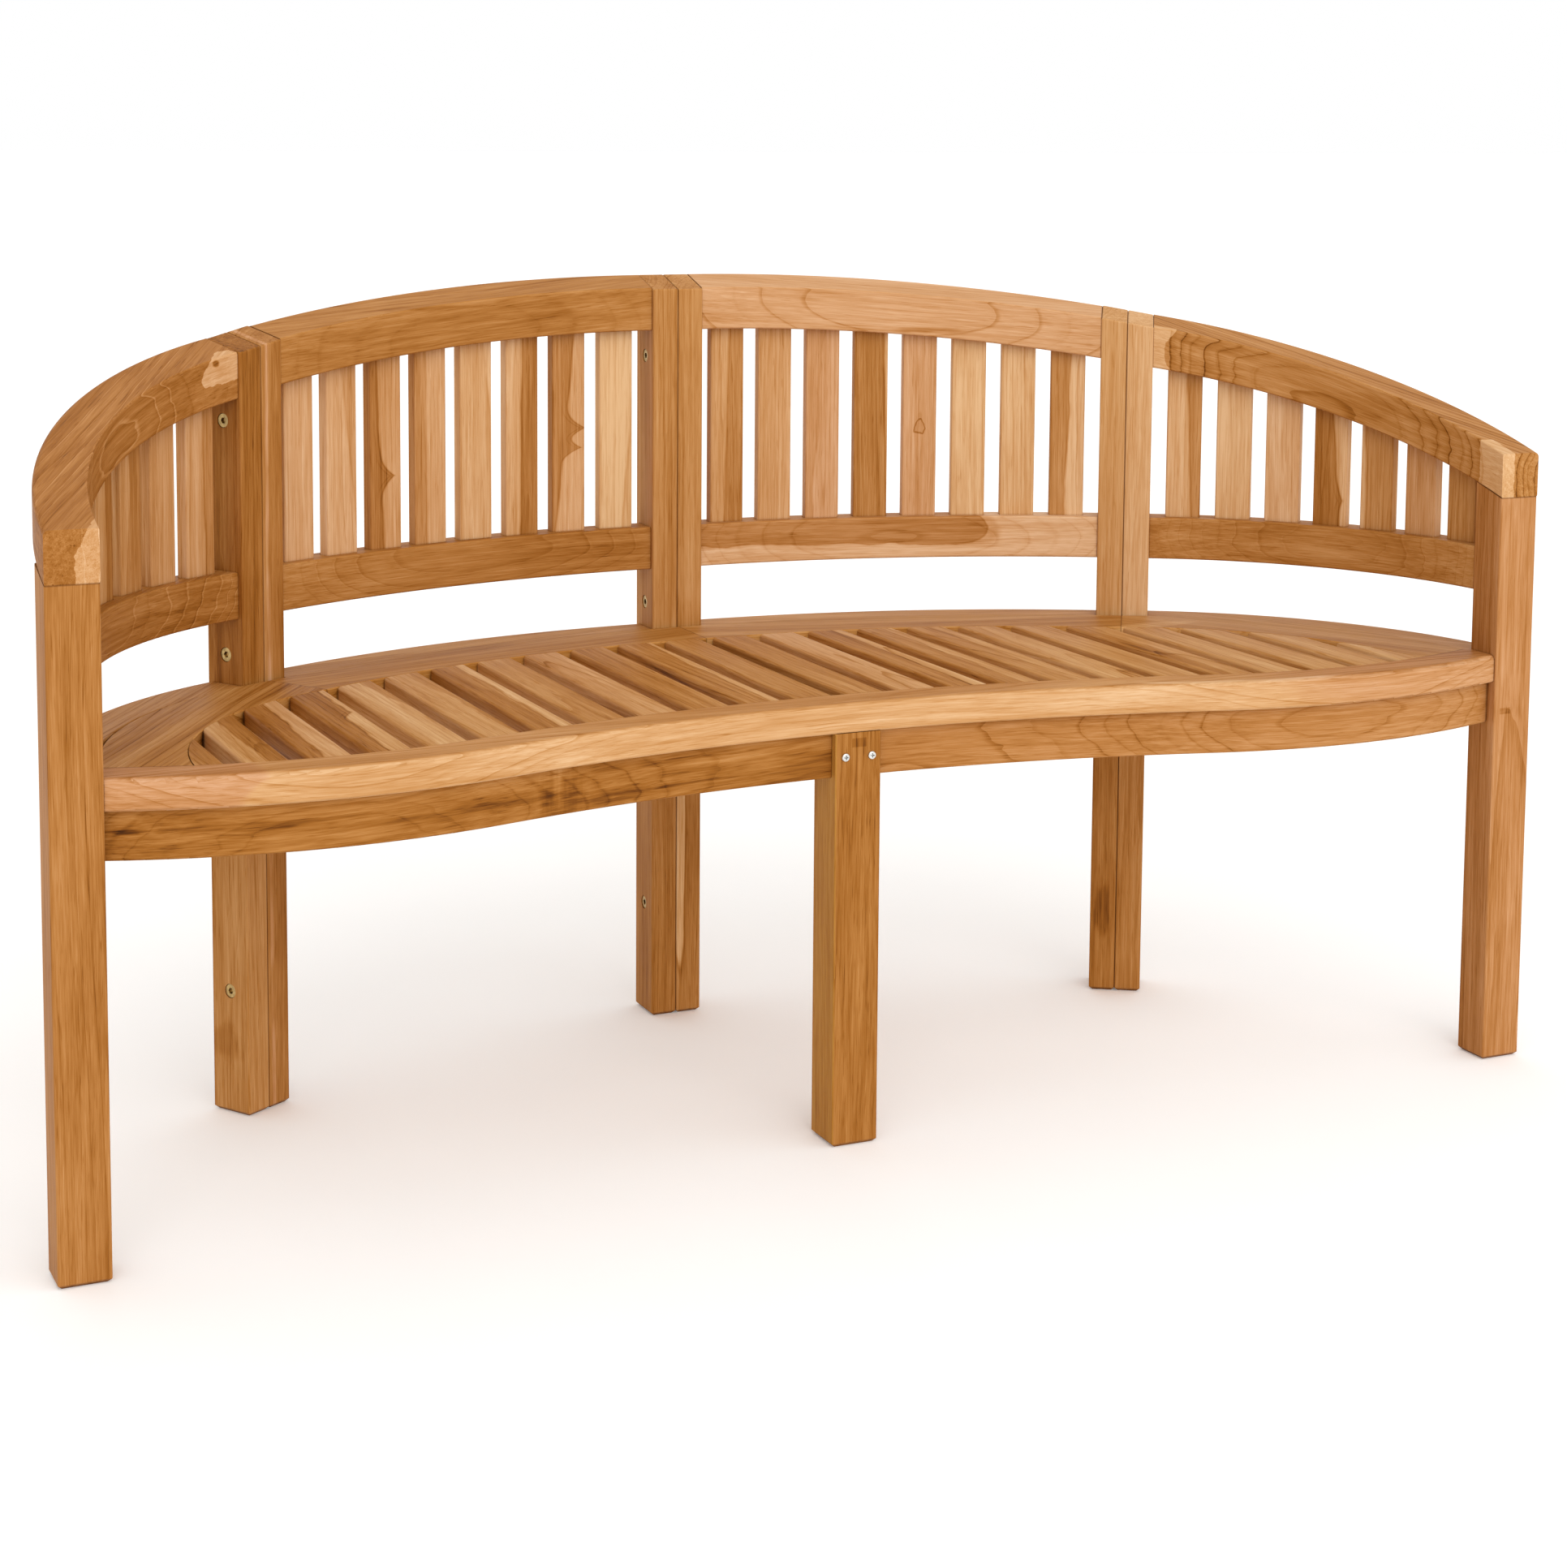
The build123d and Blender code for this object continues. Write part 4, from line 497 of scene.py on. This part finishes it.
SILL = 0.426
for k, (side, word) in enumerate(((-1, "left"), (1, "right"))):
    bent("seat_level_rail_%s_centre" % word, side, "centre", 0.975, SILL, 0.082, 0.006, 0.0, None, Seed=21.0 + k, Tone=0.50 + 0.06 * k, Ring=0.0052, Lines=0.20)
    bent("seat_level_rail_%s_side" % word, side, "side", 0.428, SILL, 0.118, 0.004, 0.0, None, Seed=24.0 + k, Tone=0.44 + 0.10 * k, Ring=0.0054, Lines=0.22)
    bent("seat_back_rail_%s_centre" % word, side, "centre", 0.912, 0.437, 0.090, -0.045, 0.0, seat_back, Seed=27.0 + k, Tone=0.47 + 0.06 * k, Hue=-0.35, Ring=0.0052, Lines=0.20, Streak=0.38)
    bent("seat_back_rail_%s_side" % word, side, "side", 0.364, 0.437, 0.115, -0.040, 0.0, seat_back, Seed=30.0 + k, Tone=0.47 + 0.09 * k, Hue=-0.25, Ring=0.0054, Lines=0.24, Streak=0.38)
    bent("seat_ledger_%s_centre" % word, side, "centre", 0.940, 0.412, 0.080, 0.02, 0.0, None, Seed=33.0 + k, Tone=0.48)
    bent("seat_ledger_%s_side" % word, side, "side", 0.395, 0.412, 0.110, 0.02, 0.0, None, Seed=36.0 + k, Tone=0.48)


# ----------------------------------------------------------- posts and legs
PAIR_LEFT = ((-0.5095, 0.117), (-0.848048, -0.529919))
PAIR_RIGHT = ((0.5095, 0.117), (0.848048, -0.529919))
PAIR_MIDDLE = ((0.0, 0.0), (1.0, 0.0))


def post(name, x, y, pair=None, paint=None, low=None, **values):
    """An upright with its pith at x, y, the seam of its pair, and the tone that
    it takes on below the seat; the step between the two tones is painted shade."""
    def mark(n, point, local, values):
        if pair:
            values["Seam"] = n.lines(point, [pair], 0.0011)
        # painted shade: the tone steps to low below the seat, darker where the seat shades the legs; on the left outer
        # post the darker part is above the seat, in the side panel's shade
        if low is not None:
            values["Tone"] = n.lerp(low, values["Tone"], n.rise(n.parts(point)[2], 0.30, 0.46))
        if paint:
            paint(n, point, local, values)

    timber(name, (x, y, 0.0), (0, 0, 1), (1, 0, 0), mark, **values)


def spindle_and_seat_shade(n, point, local, values):
    x, y, z = n.parts(point)
    pale = n.spot(point, (0.0040, 0.245, 0.205), (0.0072, 0.014, 0.165), 0.84, 1.0, 0.40, (40, 40, 14))
    line = n.spot(point, (0.0040, 0.245, 0.205), (0.0094, 0.017, 0.185), 0.86, 1.0, 0.40, (40, 40, 14)) - pale
    # painted shade: the post is darker below the seat, where the seat shades it; the pale spindle is the wood's own
    high = n.rise(z, 0.44, 0.50)
    values["Tone"] = n.lerp(0.45, 0.57, high) + pale * 0.30
    values["MarkAndShade"] = line * 0.14


def stain_left(n, point, local, values):
    x, y, z = n.parts(point)
    wet = n.spot(point, (-0.5495, 0.129, 0.072), (0.028, 0.030, 0.026), 0.30, 1.0, 1.3, (55, 55, 40))
    values["MarkAndShade"] = wet * 0.13


def stripe_left(n, point, local, values):
    away = n.vmath("DOT_PRODUCT", point, (0.848048, 0.529919, 0.0)) + (0.5095 * 0.848048 - 0.117 * 0.529919)
    wave = (n.noise(point, (30, 30, 6), 3.0) - 0.5) * 0.006
    pale = n.rise(n.math("ABSOLUTE", away + wave - 0.0072), 0.0036, 0.0014) * n.rise(n.noise(point, (9, 9, 11), 2.0), 0.36, 0.58)
    values["Tone"] = values["Tone"] + pale * 0.15
    values["Hue"] = pale * 0.7 + 0.1


def stain_right(n, point, local, values):
    wet = n.spot(point, (0.4960, 0.121, 0.098), (0.0100, 0.03, 0.042), 0.5, 1.0, 1.1, (60, 60, 30))
    values["MarkAndShade"] = wet * 0.16


def leg_front(n, point, local, values):
    x, y, z = n.parts(point)
    # painted light: the leg's left face is made lighter and yellower than its front
    side = n.rise(x, -0.0232, -0.0246)
    plug = n.rise(n.math("ABSOLUTE", x - 0.0008), 0.0086, 0.0074) * n.rise(n.math("ABSOLUTE", z - 0.4118), 0.0050, 0.0040)
    values["Tone"] = values["Tone"] + side * 0.12
    values["Hue"] = side * -1.1
    values["MarkAndShade"] = plug * n.rise(y, -0.205, -0.215) * (n.noise(point, (500, 60, 60), 2.0) * 0.22 + 0.01)


def top_line(n, point, local, values):
    x, y, z = n.parts(point)
    values["Seam"] = cap_line(n, point, z - y * 0.32 - 0.7081)


def plug(n, point, local, values):
    x, y, z = n.parts(point)
    inside = n.rise(n.math("ABSOLUTE", x - 0.7642), 0.0076, 0.0066) * n.rise(n.math("ABSOLUTE", z - 0.390), 0.0038, 0.0030)
    mark = inside * n.rise(y, -0.20, -0.25) * (n.noise(point, (60, 60, 700), 2.0) * 0.26 + 0.02)
    # painted shade: the post's faces behind its front face are darkened, in streaks
    side = n.rise(y, -0.258, -0.250)
    values["MarkAndShade"] = mark + side * (0.08 + n.rise(n.noise(point, (60, 60, 3), 2.0), 0.50, 0.66) * 0.10)
    top_line(n, point, local, values)


post("post_front_left", -0.860, -0.170, paint=top_line, low=0.42, Seed=40.2, Tone=0.465, Ring=0.0050, Lines=0.12, Streak=0.24, Hue=0.25)
post("post_front_right", 0.770, -0.160, paint=plug, Seed=42.7, Tone=0.52, Ring=0.0070, Lines=0.12, Streak=0.16, Wave=0.014, Hue=0.75, Taper=0.012)
post("leg_front_middle", 0.060, -0.136, paint=leg_front, Shade=0.60, Seed=44.4, Tone=0.37, Ring=0.0042, Lines=0.12, Streak=0.20, Curl=0.9)
post("post_left_outer", -0.470, 0.215, PAIR_LEFT, stain_left, 0.56, Seed=46.1, Tone=0.36, Ring=0.0044, Lines=0.16, Streak=0.26)
post("post_left_inner", -0.430, 0.085, PAIR_LEFT, stripe_left, 0.36, Seed=48.8, Tone=0.45, Ring=0.0050, Lines=0.20, Streak=0.28)
post("post_middle_left", -0.095, 0.310, PAIR_MIDDLE, None, 0.44, Seed=50.5, Tone=0.53, Ring=0.0046, Lines=0.16, Streak=0.26)
post("post_middle_right", 0.085, 0.200, PAIR_MIDDLE, spindle_and_seat_shade, Seed=52.3, Ring=0.0048, Lines=0.20, Streak=0.28)
post("post_right_inner", 0.430, 0.215, PAIR_RIGHT, stain_right, 0.41, Seed=54.9, Tone=0.70, Ring=0.0048, Lines=0.12, Streak=0.20)
post("post_right_outer", 0.600, 0.180, PAIR_RIGHT, None, 0.50, Seed=56.6, Tone=0.82, Ring=0.0050, Lines=0.12, Streak=0.20, Hue=0.1)


# ----------------------------------------------------------------- seat frame
ENDS = [((-0.750, 0.0), (1.0, 0.0)), ((0.750, 0.0), (1.0, 0.0))]


def front_rail(n, point, local, values):
    x, y, z = n.parts(point)
    wave = (n.noise(point, (16, 16, 40), 3.0) - 0.5) * 0.05
    left = n.rise(x + (z - 0.437) * -0.9 + wave, -0.634, -0.622)
    right = n.rise(x + (z - 0.437) * 2.0 + wave * 2.0, 0.430, 0.560)
    # painted shade: the rail's top face is made darker
    top_face_shade = n.rise(z, 0.4500, 0.4519)
    side = n.math("ABSOLUTE", x) - 0.545
    ring = n.math("SQRT", side * side + (y - 0.321) * (y - 0.321))
    edge = n.math("ABSOLUTE", ring - 0.610)
    sap = n.rise(edge + wave * 0.12, 0.0052, 0.0040) * n.rise(z + wave * 0.05, 0.4405, 0.4420) * n.rise(x + wave, 0.285, 0.330) * n.rise(x + wave, 0.560, 0.500)
    values["Tone"] = n.lerp(0.635, n.lerp(0.73, 0.63, right), left) - top_face_shade * 0.17
    values["Hue"] = n.lerp(0.85, n.lerp(0.12, 0.65, right), left)
    values["Patch"] = sap
    far = n.rise(n.math("ABSOLUTE", ring - 0.573), 0.0014, 0.0004) * n.rise(n.math("ABSOLUTE", x), 0.652, 0.660)
    values["Seam"] = n.math("MAXIMUM", n.lines(point, ENDS), far)


timber("seat_front_rail", (0.0, -0.200, 0.360), (1, 0, 0), (0, 1, 0), front_rail, Curved=True, Seed=60.3, Ring=0.0060, Lines=0.18, Streak=0.24, Wave=0.014, SapTone=0.79)


def apron_left(n, point, local, values):
    curl = n.noise(point, (70, 70, 12), 3.0) - 0.5
    at = n.spot(point, (-0.324, -0.248, 0.397), (0.045, 0.05, 0.05), 0.2, 1.0, 0.5, (30, 30, 30))
    mark = n.spot(point, (-0.728, -0.2560, 0.4018), (0.018, 0.02, 0.0032), 0.3, 1.1, 0.9, (70, 70, 260))
    cloud = n.rise(n.noise(point, (9, 9, 45), 3.0, 0.6), 0.42, 0.66)
    values["MarkAndShade"] = at * curl * 0.6 + mark * 0.22 + cloud * 0.11 - 0.03
    values["Seam"] = n.lines(point, [ENDS[0], ((-0.025, 0.0), (1.0, 0.0))])


def apron_right(n, point, local, values):
    values["Seam"] = n.lines(point, [ENDS[1], ((0.025, 0.0), (1.0, 0.0))])


timber("front_apron_left", (-0.36, -0.330, 0.378), (1, 0, 0.03), (0, 1, 0), apron_left, Curved=True, Seed=62.9, Tone=0.37, Ring=0.0066, Lines=0.13, Streak=0.30, Wave=0.016, Curl=0.6, Hair=-0.05)
timber("front_apron_right", (0.36, -0.335, 0.405), (1, 0, -0.015), (0, 1, 0), apron_right, Curved=True, Seed=64.4, Tone=0.49, Ring=0.0070, Lines=0.13, Streak=0.14, Wave=0.014, Hue=0.4, Curl=0.5, Hair=-0.12)
timber("seat_bearer_middle", (0.07, 0.0, 0.36), (0, 1, 0), (1, 0, 0), None, Seed=66.1, Tone=0.46)


# ---------------------------------------------------------------- back slats
# One row a slat, from left to right: tone of its left and right part, where
# they meet (0 to 1); pinkness, unevenness of the line between them, ring width;
# lean of that line (0.5 is upright), height and size of a branch mark on it.
def two_tone(n, at, rows, own, across, wide, place, ragged, lift):
    """The tone of a slat whose left and right parts differ."""
    left, right, meet = n.table(at, [r[:3] for r in rows])
    pink, uneven, width = n.table(at, [r[3:6] for r in rows])
    lean, spot, size = n.table(at, [r[6:] for r in rows])
    wander = (ragged - 0.5) * uneven * 0.05
    reach = n.math("MAXIMUM", 1.0 - n.math("ABSOLUTE", place - spot) * 8.0, 0.0)
    again = n.math("MAXIMUM", 1.0 - n.math("ABSOLUTE", place - spot + 0.10) * 13.0, 0.0) * n.rise(size, 0.5, 0.55)
    thorn = reach * reach * (reach * 0.6 + 0.4) + again * again * 0.9
    over = across - (meet - 0.5) * (wide + 0.004) + wander + (lean - 0.5) * (place - 0.5) * (wide * 2.0) - thorn * size * wide
    mask = n.rise(over, -0.0011, 0.0011)
    line = n.rise(n.math("ABSOLUTE", over), 0.0028, 0.0004)
    tone = n.lerp(left, right, mask) - line * n.math("ABSOLUTE", left - right) * 0.42
    halo = n.rise(n.math("ABSOLUTE", over + 0.006), 0.0016, 0.0004) * n.rise(size, 0.05, 0.15) * reach
    tone = (tone - halo * 0.08 - 0.55) * 1.22 + lift
    return tone, pink * 2.0 - 1.0, width * 0.01


def slats(name, side, panel, seed, rows, paint=None):
    cx, cy, radius, first, step = (0.030, -0.711, 0.981, 0.0391571, 0.0595445) if panel == "centre" else (0.342, -0.255, 0.431, 0.5888368, 0.1349627)
    count = len(rows)
    rows = rows if side > 0 else rows[::-1]
    mat, n, point = begin("teak_" + name)
    x, y, z = n.parts(point)
    x = x * float(side) - cx
    y = y - cy
    turn = n.math("ARCTAN2", x, y)
    k = n.math("FLOOR", (turn - (first - step / 2)) / step)
    u = (turn - first - k * step) * (radius * side)
    v = n.math("SQRT", x * x + y * y) - radius
    own = k * 3.7 + seed
    place = (z - 0.560) / 0.22
    ragged = n.noise(n.vec(own, 0.0, z), (1, 1, 11), 3.0)
    tone, pink, width = two_tone(n, (k + 0.5) / count, rows, own, u, 0.040, place, ragged, 0.640)
    local = n.vec(u + (n.chance(own) - 0.5) * 0.17, v + n.chance(own + 0.5) * 0.05 + 0.022, z)
    values = dict(Seed=own, Tone=tone, Hue=pink + 0.12, Ring=width, Lines=0.17, Streak=0.22, Wave=0.010, Taper=0.01)
    if paint:
        paint(n, point, local, values)
    close(n, local, (0, 0, 1), values)
    dress(mat, name)


def slat_knot(n, point, local, values):
    x, y, z = n.parts(point)
    drop = [(-0.0066, -0.0062), (0.0042, -0.0090), (0.0070, -0.0020), (0.0020, 0.0105), (-0.0012, 0.0100), (-0.0068, 0.0000)]
    wobble = (n.noise(point, (140, 140, 140), 2.0) - 0.5) * 0.003
    outer = n.poly(x - 0.2968, z - 0.6700, drop, 0.0004, wobble, 0.001)
    inner = n.poly(x - 0.2968, z - 0.6700, [(a * 0.80, b * 0.80) for a, b in drop], 0.0006, wobble, 0.001)
    tip = n.spot(point, (0.2972, 0.2257, 0.6830), (0.0030, 0.0200, 0.0055), 0.4, 1.1, 0.5, (110, 110, 90))
    values["MarkAndShade"] = (outer - inner) * 0.30 + inner * 0.03 + tip * 0.07


slats("back_slats_left_side", -1, "side", 101.0, (
    (0.46, 0.54, 0.4, 0.55, 0.3, 0.42, 0.5, 0, 0), (0.48, 0.33, 0.5, 0.55, 0.4, 0.42, 0.5, 0, 0), (0.33, 0.50, 0.4, 0.6, 0.4, 0.42, 0.55, 0, 0),
    (0.52, 0.35, 0.6, 0.5, 0.4, 0.42, 0.45, 0, 0), (0.52, 0.40, 0.45, 0.55, 0.4, 0.42, 0.22, 0, 0), (0.50, 0.57, 0.3, 0.6, 0.3, 0.42, 0.5, 0, 0), (0.58, 0.44, 0.62, 0.6, 0.3, 0.42, 0.5, 0, 0)))
slats("back_slats_left_centre", -1, "centre", 131.0, (
    (0.62, 0.66, 0.15, 0.6, 0.1, 0.42, 0.5, 0, 0), (0.66, 0.54, 0.74, 0.58, 0.1, 0.42, 0.82, 0, 0), (0.38, 0.63, 0.33, 0.6, 0.22, 0.40, 0.61, 0.38, 0.42), (0.50, 0.62, 0.38, 0.58, 0.1, 0.34, 0.5, 0, 0),
    (0.66, 0.78, 0.98, 0.5, 0.2, 0.42, 0.75, 0, 0), (0.64, 0.42, 0.48, 0.52, 0.15, 0.40, 0.46, 0, 0), (0.42, 0.64, 0.38, 0.58, 0.20, 0.44, 0.24, 0.55, 0.62), (0.78, 0.66, 0.86, 0.42, 0.2, 0.44, 0.28, 0, 0)))
slats("back_slats_right_centre", 1, "centre", 163.0, (
    (0.58, 0.42, 0.48, 0.5, 0.1, 0.40, 0.44, 0, 0), (0.62, 0.57, 0.72, 0.55, 0.1, 0.32, 0.5, 0, 0), (0.54, 0.62, 0.38, 0.72, 0.35, 0.42, 0.30, 0, 0), (0.41, 0.70, 0.90, 0.46, 0.15, 0.38, 0.56, 0, 0),
    (0.61, 0.63, 0.5, 0.70, 0.3, 0.46, 0.5, 0, 0), (0.73, 0.66, 0.70, 0.45, 0.15, 0.38, 0.46, 0, 0), (0.72, 0.70, 0.8, 0.46, 0.2, 0.36, 0.5, 0, 0), (0.47, 0.71, 0.52, 0.5, 0.25, 0.42, 0.40, 0, 0)), slat_knot)
slats("back_slats_right_side", 1, "side", 197.0, (
    (0.66, 0.46, 0.62, 0.5, 0.15, 0.42, 0.62, 0, 0), (0.73, 0.70, 0.5, 0.48, 0.3, 0.42, 0.5, 0, 0), (0.73, 0.68, 0.5, 0.58, 0.6, 0.5, 0.6, 0, 0), (0.40, 0.68, 0.60, 0.5, 0.2, 0.42, 0.74, 0.16, 0.12),
    (0.70, 0.52, 0.22, 0.5, 0.3, 0.40, 0.5, 0, 0), (0.62, 0.60, 0.5, 0.66, 0.3, 0.42, 0.5, 0, 0), (0.50, 0.48, 0.5, 0.45, 0.3, 0.42, 0.5, 0, 0)))

# ---------------------------------------------------------------- seat slats
SEAT_ROWS = (
    (0.62, 0.48, 0.45, 0.5, 0.3, 0.42, 0.5, 0, 0), (0.62, 0.42, 0.50, 0.5, 0.3, 0.42, 0.5, 0, 0), (0.42, 0.66, 0.55, 0.6, 0.5, 0.42, 0.35, 0, 0),
    (0.42, 0.70, 0.66, 0.5, 0.6, 0.40, 0.30, 0.45, 0.2), (0.64, 0.50, 0.80, 0.5, 0.5, 0.42, 0.75, 0, 0), (0.58, 0.47, 0.75, 0.5, 0.5, 0.42, 0.70, 0, 0),
    (0.42, 0.68, 0.66, 0.5, 0.3, 0.42, 0.45, 0, 0), (0.52, 0.48, 0.60, 0.5, 0.4, 0.42, 0.5, 0, 0), (0.58, 0.60, 0.50, 0.62, 0.4, 0.42, 0.5, 0, 0),
    (0.46, 0.52, 0.60, 0.5, 0.5, 0.48, 0.5, 0, 0), (0.46, 0.70, 0.72, 0.5, 0.3, 0.42, 0.42, 0, 0), (0.48, 0.50, 0.50, 0.5, 0.4, 0.36, 0.5, 0, 0),
    (0.50, 0.46, 0.55, 0.5, 0.4, 0.42, 0.5, 0, 0), (0.66, 0.64, 0.50, 0.62, 0.3, 0.42, 0.5, 0, 0), (0.46, 0.66, 0.62, 0.5, 0.3, 0.42, 0.5, 0, 0),
    (0.46, 0.60, 0.58, 0.5, 0.5, 0.42, 0.40, 0, 0), (0.50, 0.64, 0.58, 0.5, 0.3, 0.42, 0.5, 0, 0), (0.60, 0.56, 0.60, 0.5, 0.3, 0.42, 0.5, 0, 0),
    (0.58, 0.54, 0.50, 0.5, 0.4, 0.42, 0.5, 0, 0), (0.48, 0.58, 0.50, 0.5, 0.4, 0.42, 0.45, 0, 0), (0.60, 0.56, 0.60, 0.5, 0.3, 0.42, 0.5, 0, 0),
    (0.60, 0.50, 0.80, 0.5, 0.3, 0.42, 0.65, 0, 0), (0.66, 0.62, 0.50, 0.5, 0.3, 0.42, 0.5, 0, 0), (0.64, 0.60, 0.50, 0.5, 0.3, 0.42, 0.5, 0, 0))


def seat_slats():
    pitch = 0.0574
    count = len(SEAT_ROWS)
    mat, n, point = begin("teak_seat_slats")
    x, y, z = n.parts(point)
    k = n.math("FLOOR", x / pitch)
    u = x - (k + 0.5) * pitch
    own = k * 3.7 + 251.0
    place = (y + 0.26) / 0.42
    ragged = n.noise(n.vec(own, y, 0.0), (1, 9, 1), 3.0)
    tone, pink, width = two_tone(n, (k + (count / 2 + 0.5)) / count, SEAT_ROWS, own, u, 0.042, place, ragged, 0.575)
    local = n.vec(u + (n.chance(own) - 0.5) * 0.15, z - 0.441 + n.chance(own + 0.5) * 0.05 + 0.020, y)
    nick = n.spot(point, (0.4150, -0.0700, 0.4520), (0.0060, 0.0500, 0.01), 0.3, 1.1, 0.8, (200, 20, 20))
    close(n, local, (0, 1, 0), dict(Seed=own, Tone=tone, Hue=pink - 0.12, Ring=width, Lines=0.24, Streak=0.30, Wave=0.012, Taper=0.02, MarkAndShade=nick * 0.22))
    dress(mat, "seat_slats_left", "seat_slats_right")


seat_slats()
timber("seat_dowels", (0.5, 0.2, 0.45), (1, 0, 0), (0, 1, 0), None, Seed=70.0, Tone=0.62)


# ------------------------------------------------------------------- fittings
def metal(name, colour, smudge_and_shade, rough, *names):
    """Plated metal with fine turning marks and smudges, and painted shade in its recesses."""
    mat, n, point = begin(name)
    smudge = n.noise(point, (260, 260, 260), 3.0)
    scratch = n.noise(point, (900, 900, 5200), 2.0)
    # painted shade: ambient occlusion within 4 mm darkens the recesses towards the darker colour, on top of the smudges
    ao_shade = n.node("ShaderNodeAmbientOcclusion", samples=6)
    ao_shade.inputs["Distance"].default_value = 0.004
    recess_shade = n.rise(Wire(n, ao_shade.outputs["AO"]), 0.75, 0.25)
    shade = n.math("MINIMUM", n.rise(smudge, 0.35, 0.75) * 0.45 + recess_shade * 0.75, 1.0)
    mixed = n.node("ShaderNodeMix", data_type="RGBA")
    n.feed(mixed.inputs[0], shade)
    mixed.inputs[6].default_value = (*colour, 1.0)
    mixed.inputs[7].default_value = (*smudge_and_shade, 1.0)
    bump = n.node("ShaderNodeBump")
    bump.inputs["Strength"].default_value = 0.15
    bump.inputs["Distance"].default_value = 0.0001
    n.feed(bump.inputs["Height"], scratch)
    skin = n.node("ShaderNodeBsdfPrincipled")
    skin.inputs["Metallic"].default_value = 1.0
    n.feed(skin.inputs["Base Color"], Wire(n, mixed.outputs[2]))
    n.feed(skin.inputs["Roughness"], smudge * 0.25 + scratch * 0.12 + (rough - 0.18))
    n.feed(skin.inputs["Normal"], Wire(n, bump.outputs[0]))
    end = n.node("ShaderNodeOutputMaterial")
    n.tree.links.new(skin.outputs[0], end.inputs["Surface"])
    dress(mat, *names)


metal("yellow_zinc", (0.52, 0.36, 0.15), (0.10, 0.055, 0.018), 0.38, "post_bolts", "post_nuts")
metal("bright_steel", (0.80, 0.80, 0.78), (0.30, 0.29, 0.27), 0.32, "leg_screws", "ledger_screws")

# ---------------------------------------------------------------------- stage
bpy.ops.mesh.primitive_plane_add(size=160, location=(0, 0, 0))
floor = bpy.context.object
floor.name = "floor"
floor_mat, n, point = begin("pale_floor")
paper = n.node("ShaderNodeBsdfPrincipled")
tint = n.ramp(n.noise(point, (3, 3, 3), 3.0), ((0.3, (0.925, 0.925, 0.92)), (0.7, (0.945, 0.945, 0.94))))
n.feed(paper.inputs["Base Color"], tint)
n.feed(paper.inputs["Roughness"], n.noise(point, (40, 40, 40), 2.0) * 0.1 + 0.75)
paper.inputs["Specular IOR Level"].default_value = 0.1
paper.inputs["Emission Color"].default_value = (1.0, 1.0, 1.0, 1.0)
paper.inputs["Emission Strength"].default_value = 0.10
n.tree.links.new(paper.outputs[0], n.node("ShaderNodeOutputMaterial").inputs["Surface"])
floor.data.materials.append(floor_mat)

# A big soft light in front, less from the left, and a plain white backdrop.
world = bpy.data.worlds.new("world")
scene.world = world
world.use_nodes = True
sky = Net(world.node_tree)
dx, dy, dz = sky.parts(Wire(sky, sky.node("ShaderNodeTexCoord").outputs["Generated"]))
ahead = sky.math("MAXIMUM", dy * -1.0, 0.0)
aside = sky.math("MAXIMUM", dx * -1.0, 0.0)
ahead, aside = ahead * ahead, aside * aside
seen = Wire(sky, sky.node("ShaderNodeLightPath").outputs["Is Camera Ray"])
glow = sky.node("ShaderNodeCombineColor")
for socket, gain, loss in zip(glow.inputs, (0.55, 0.53, 0.50), (0.42, 0.50, 0.60)):
    sky.feed(socket, sky.lerp(ahead * gain - aside * loss + 1.0, 1.0, seen))
sky.feed(world.node_tree.nodes["Background"].inputs["Color"], Wire(sky, glow.outputs[0]))
world.node_tree.nodes["Background"].inputs["Strength"].default_value = 1.0


def lamp(name, towards, strength, spread):
    data = bpy.data.lights.new(name, "SUN")
    data.energy = strength
    data.angle = math.radians(spread)
    made = bpy.data.objects.new(name, data)
    scene.collection.objects.link(made)
    made.rotation_euler = Vector(towards).to_track_quat("-Z", "Y").to_euler()


lamp("key", (0.18, 0.85, -0.60), 0.75, 50.0)
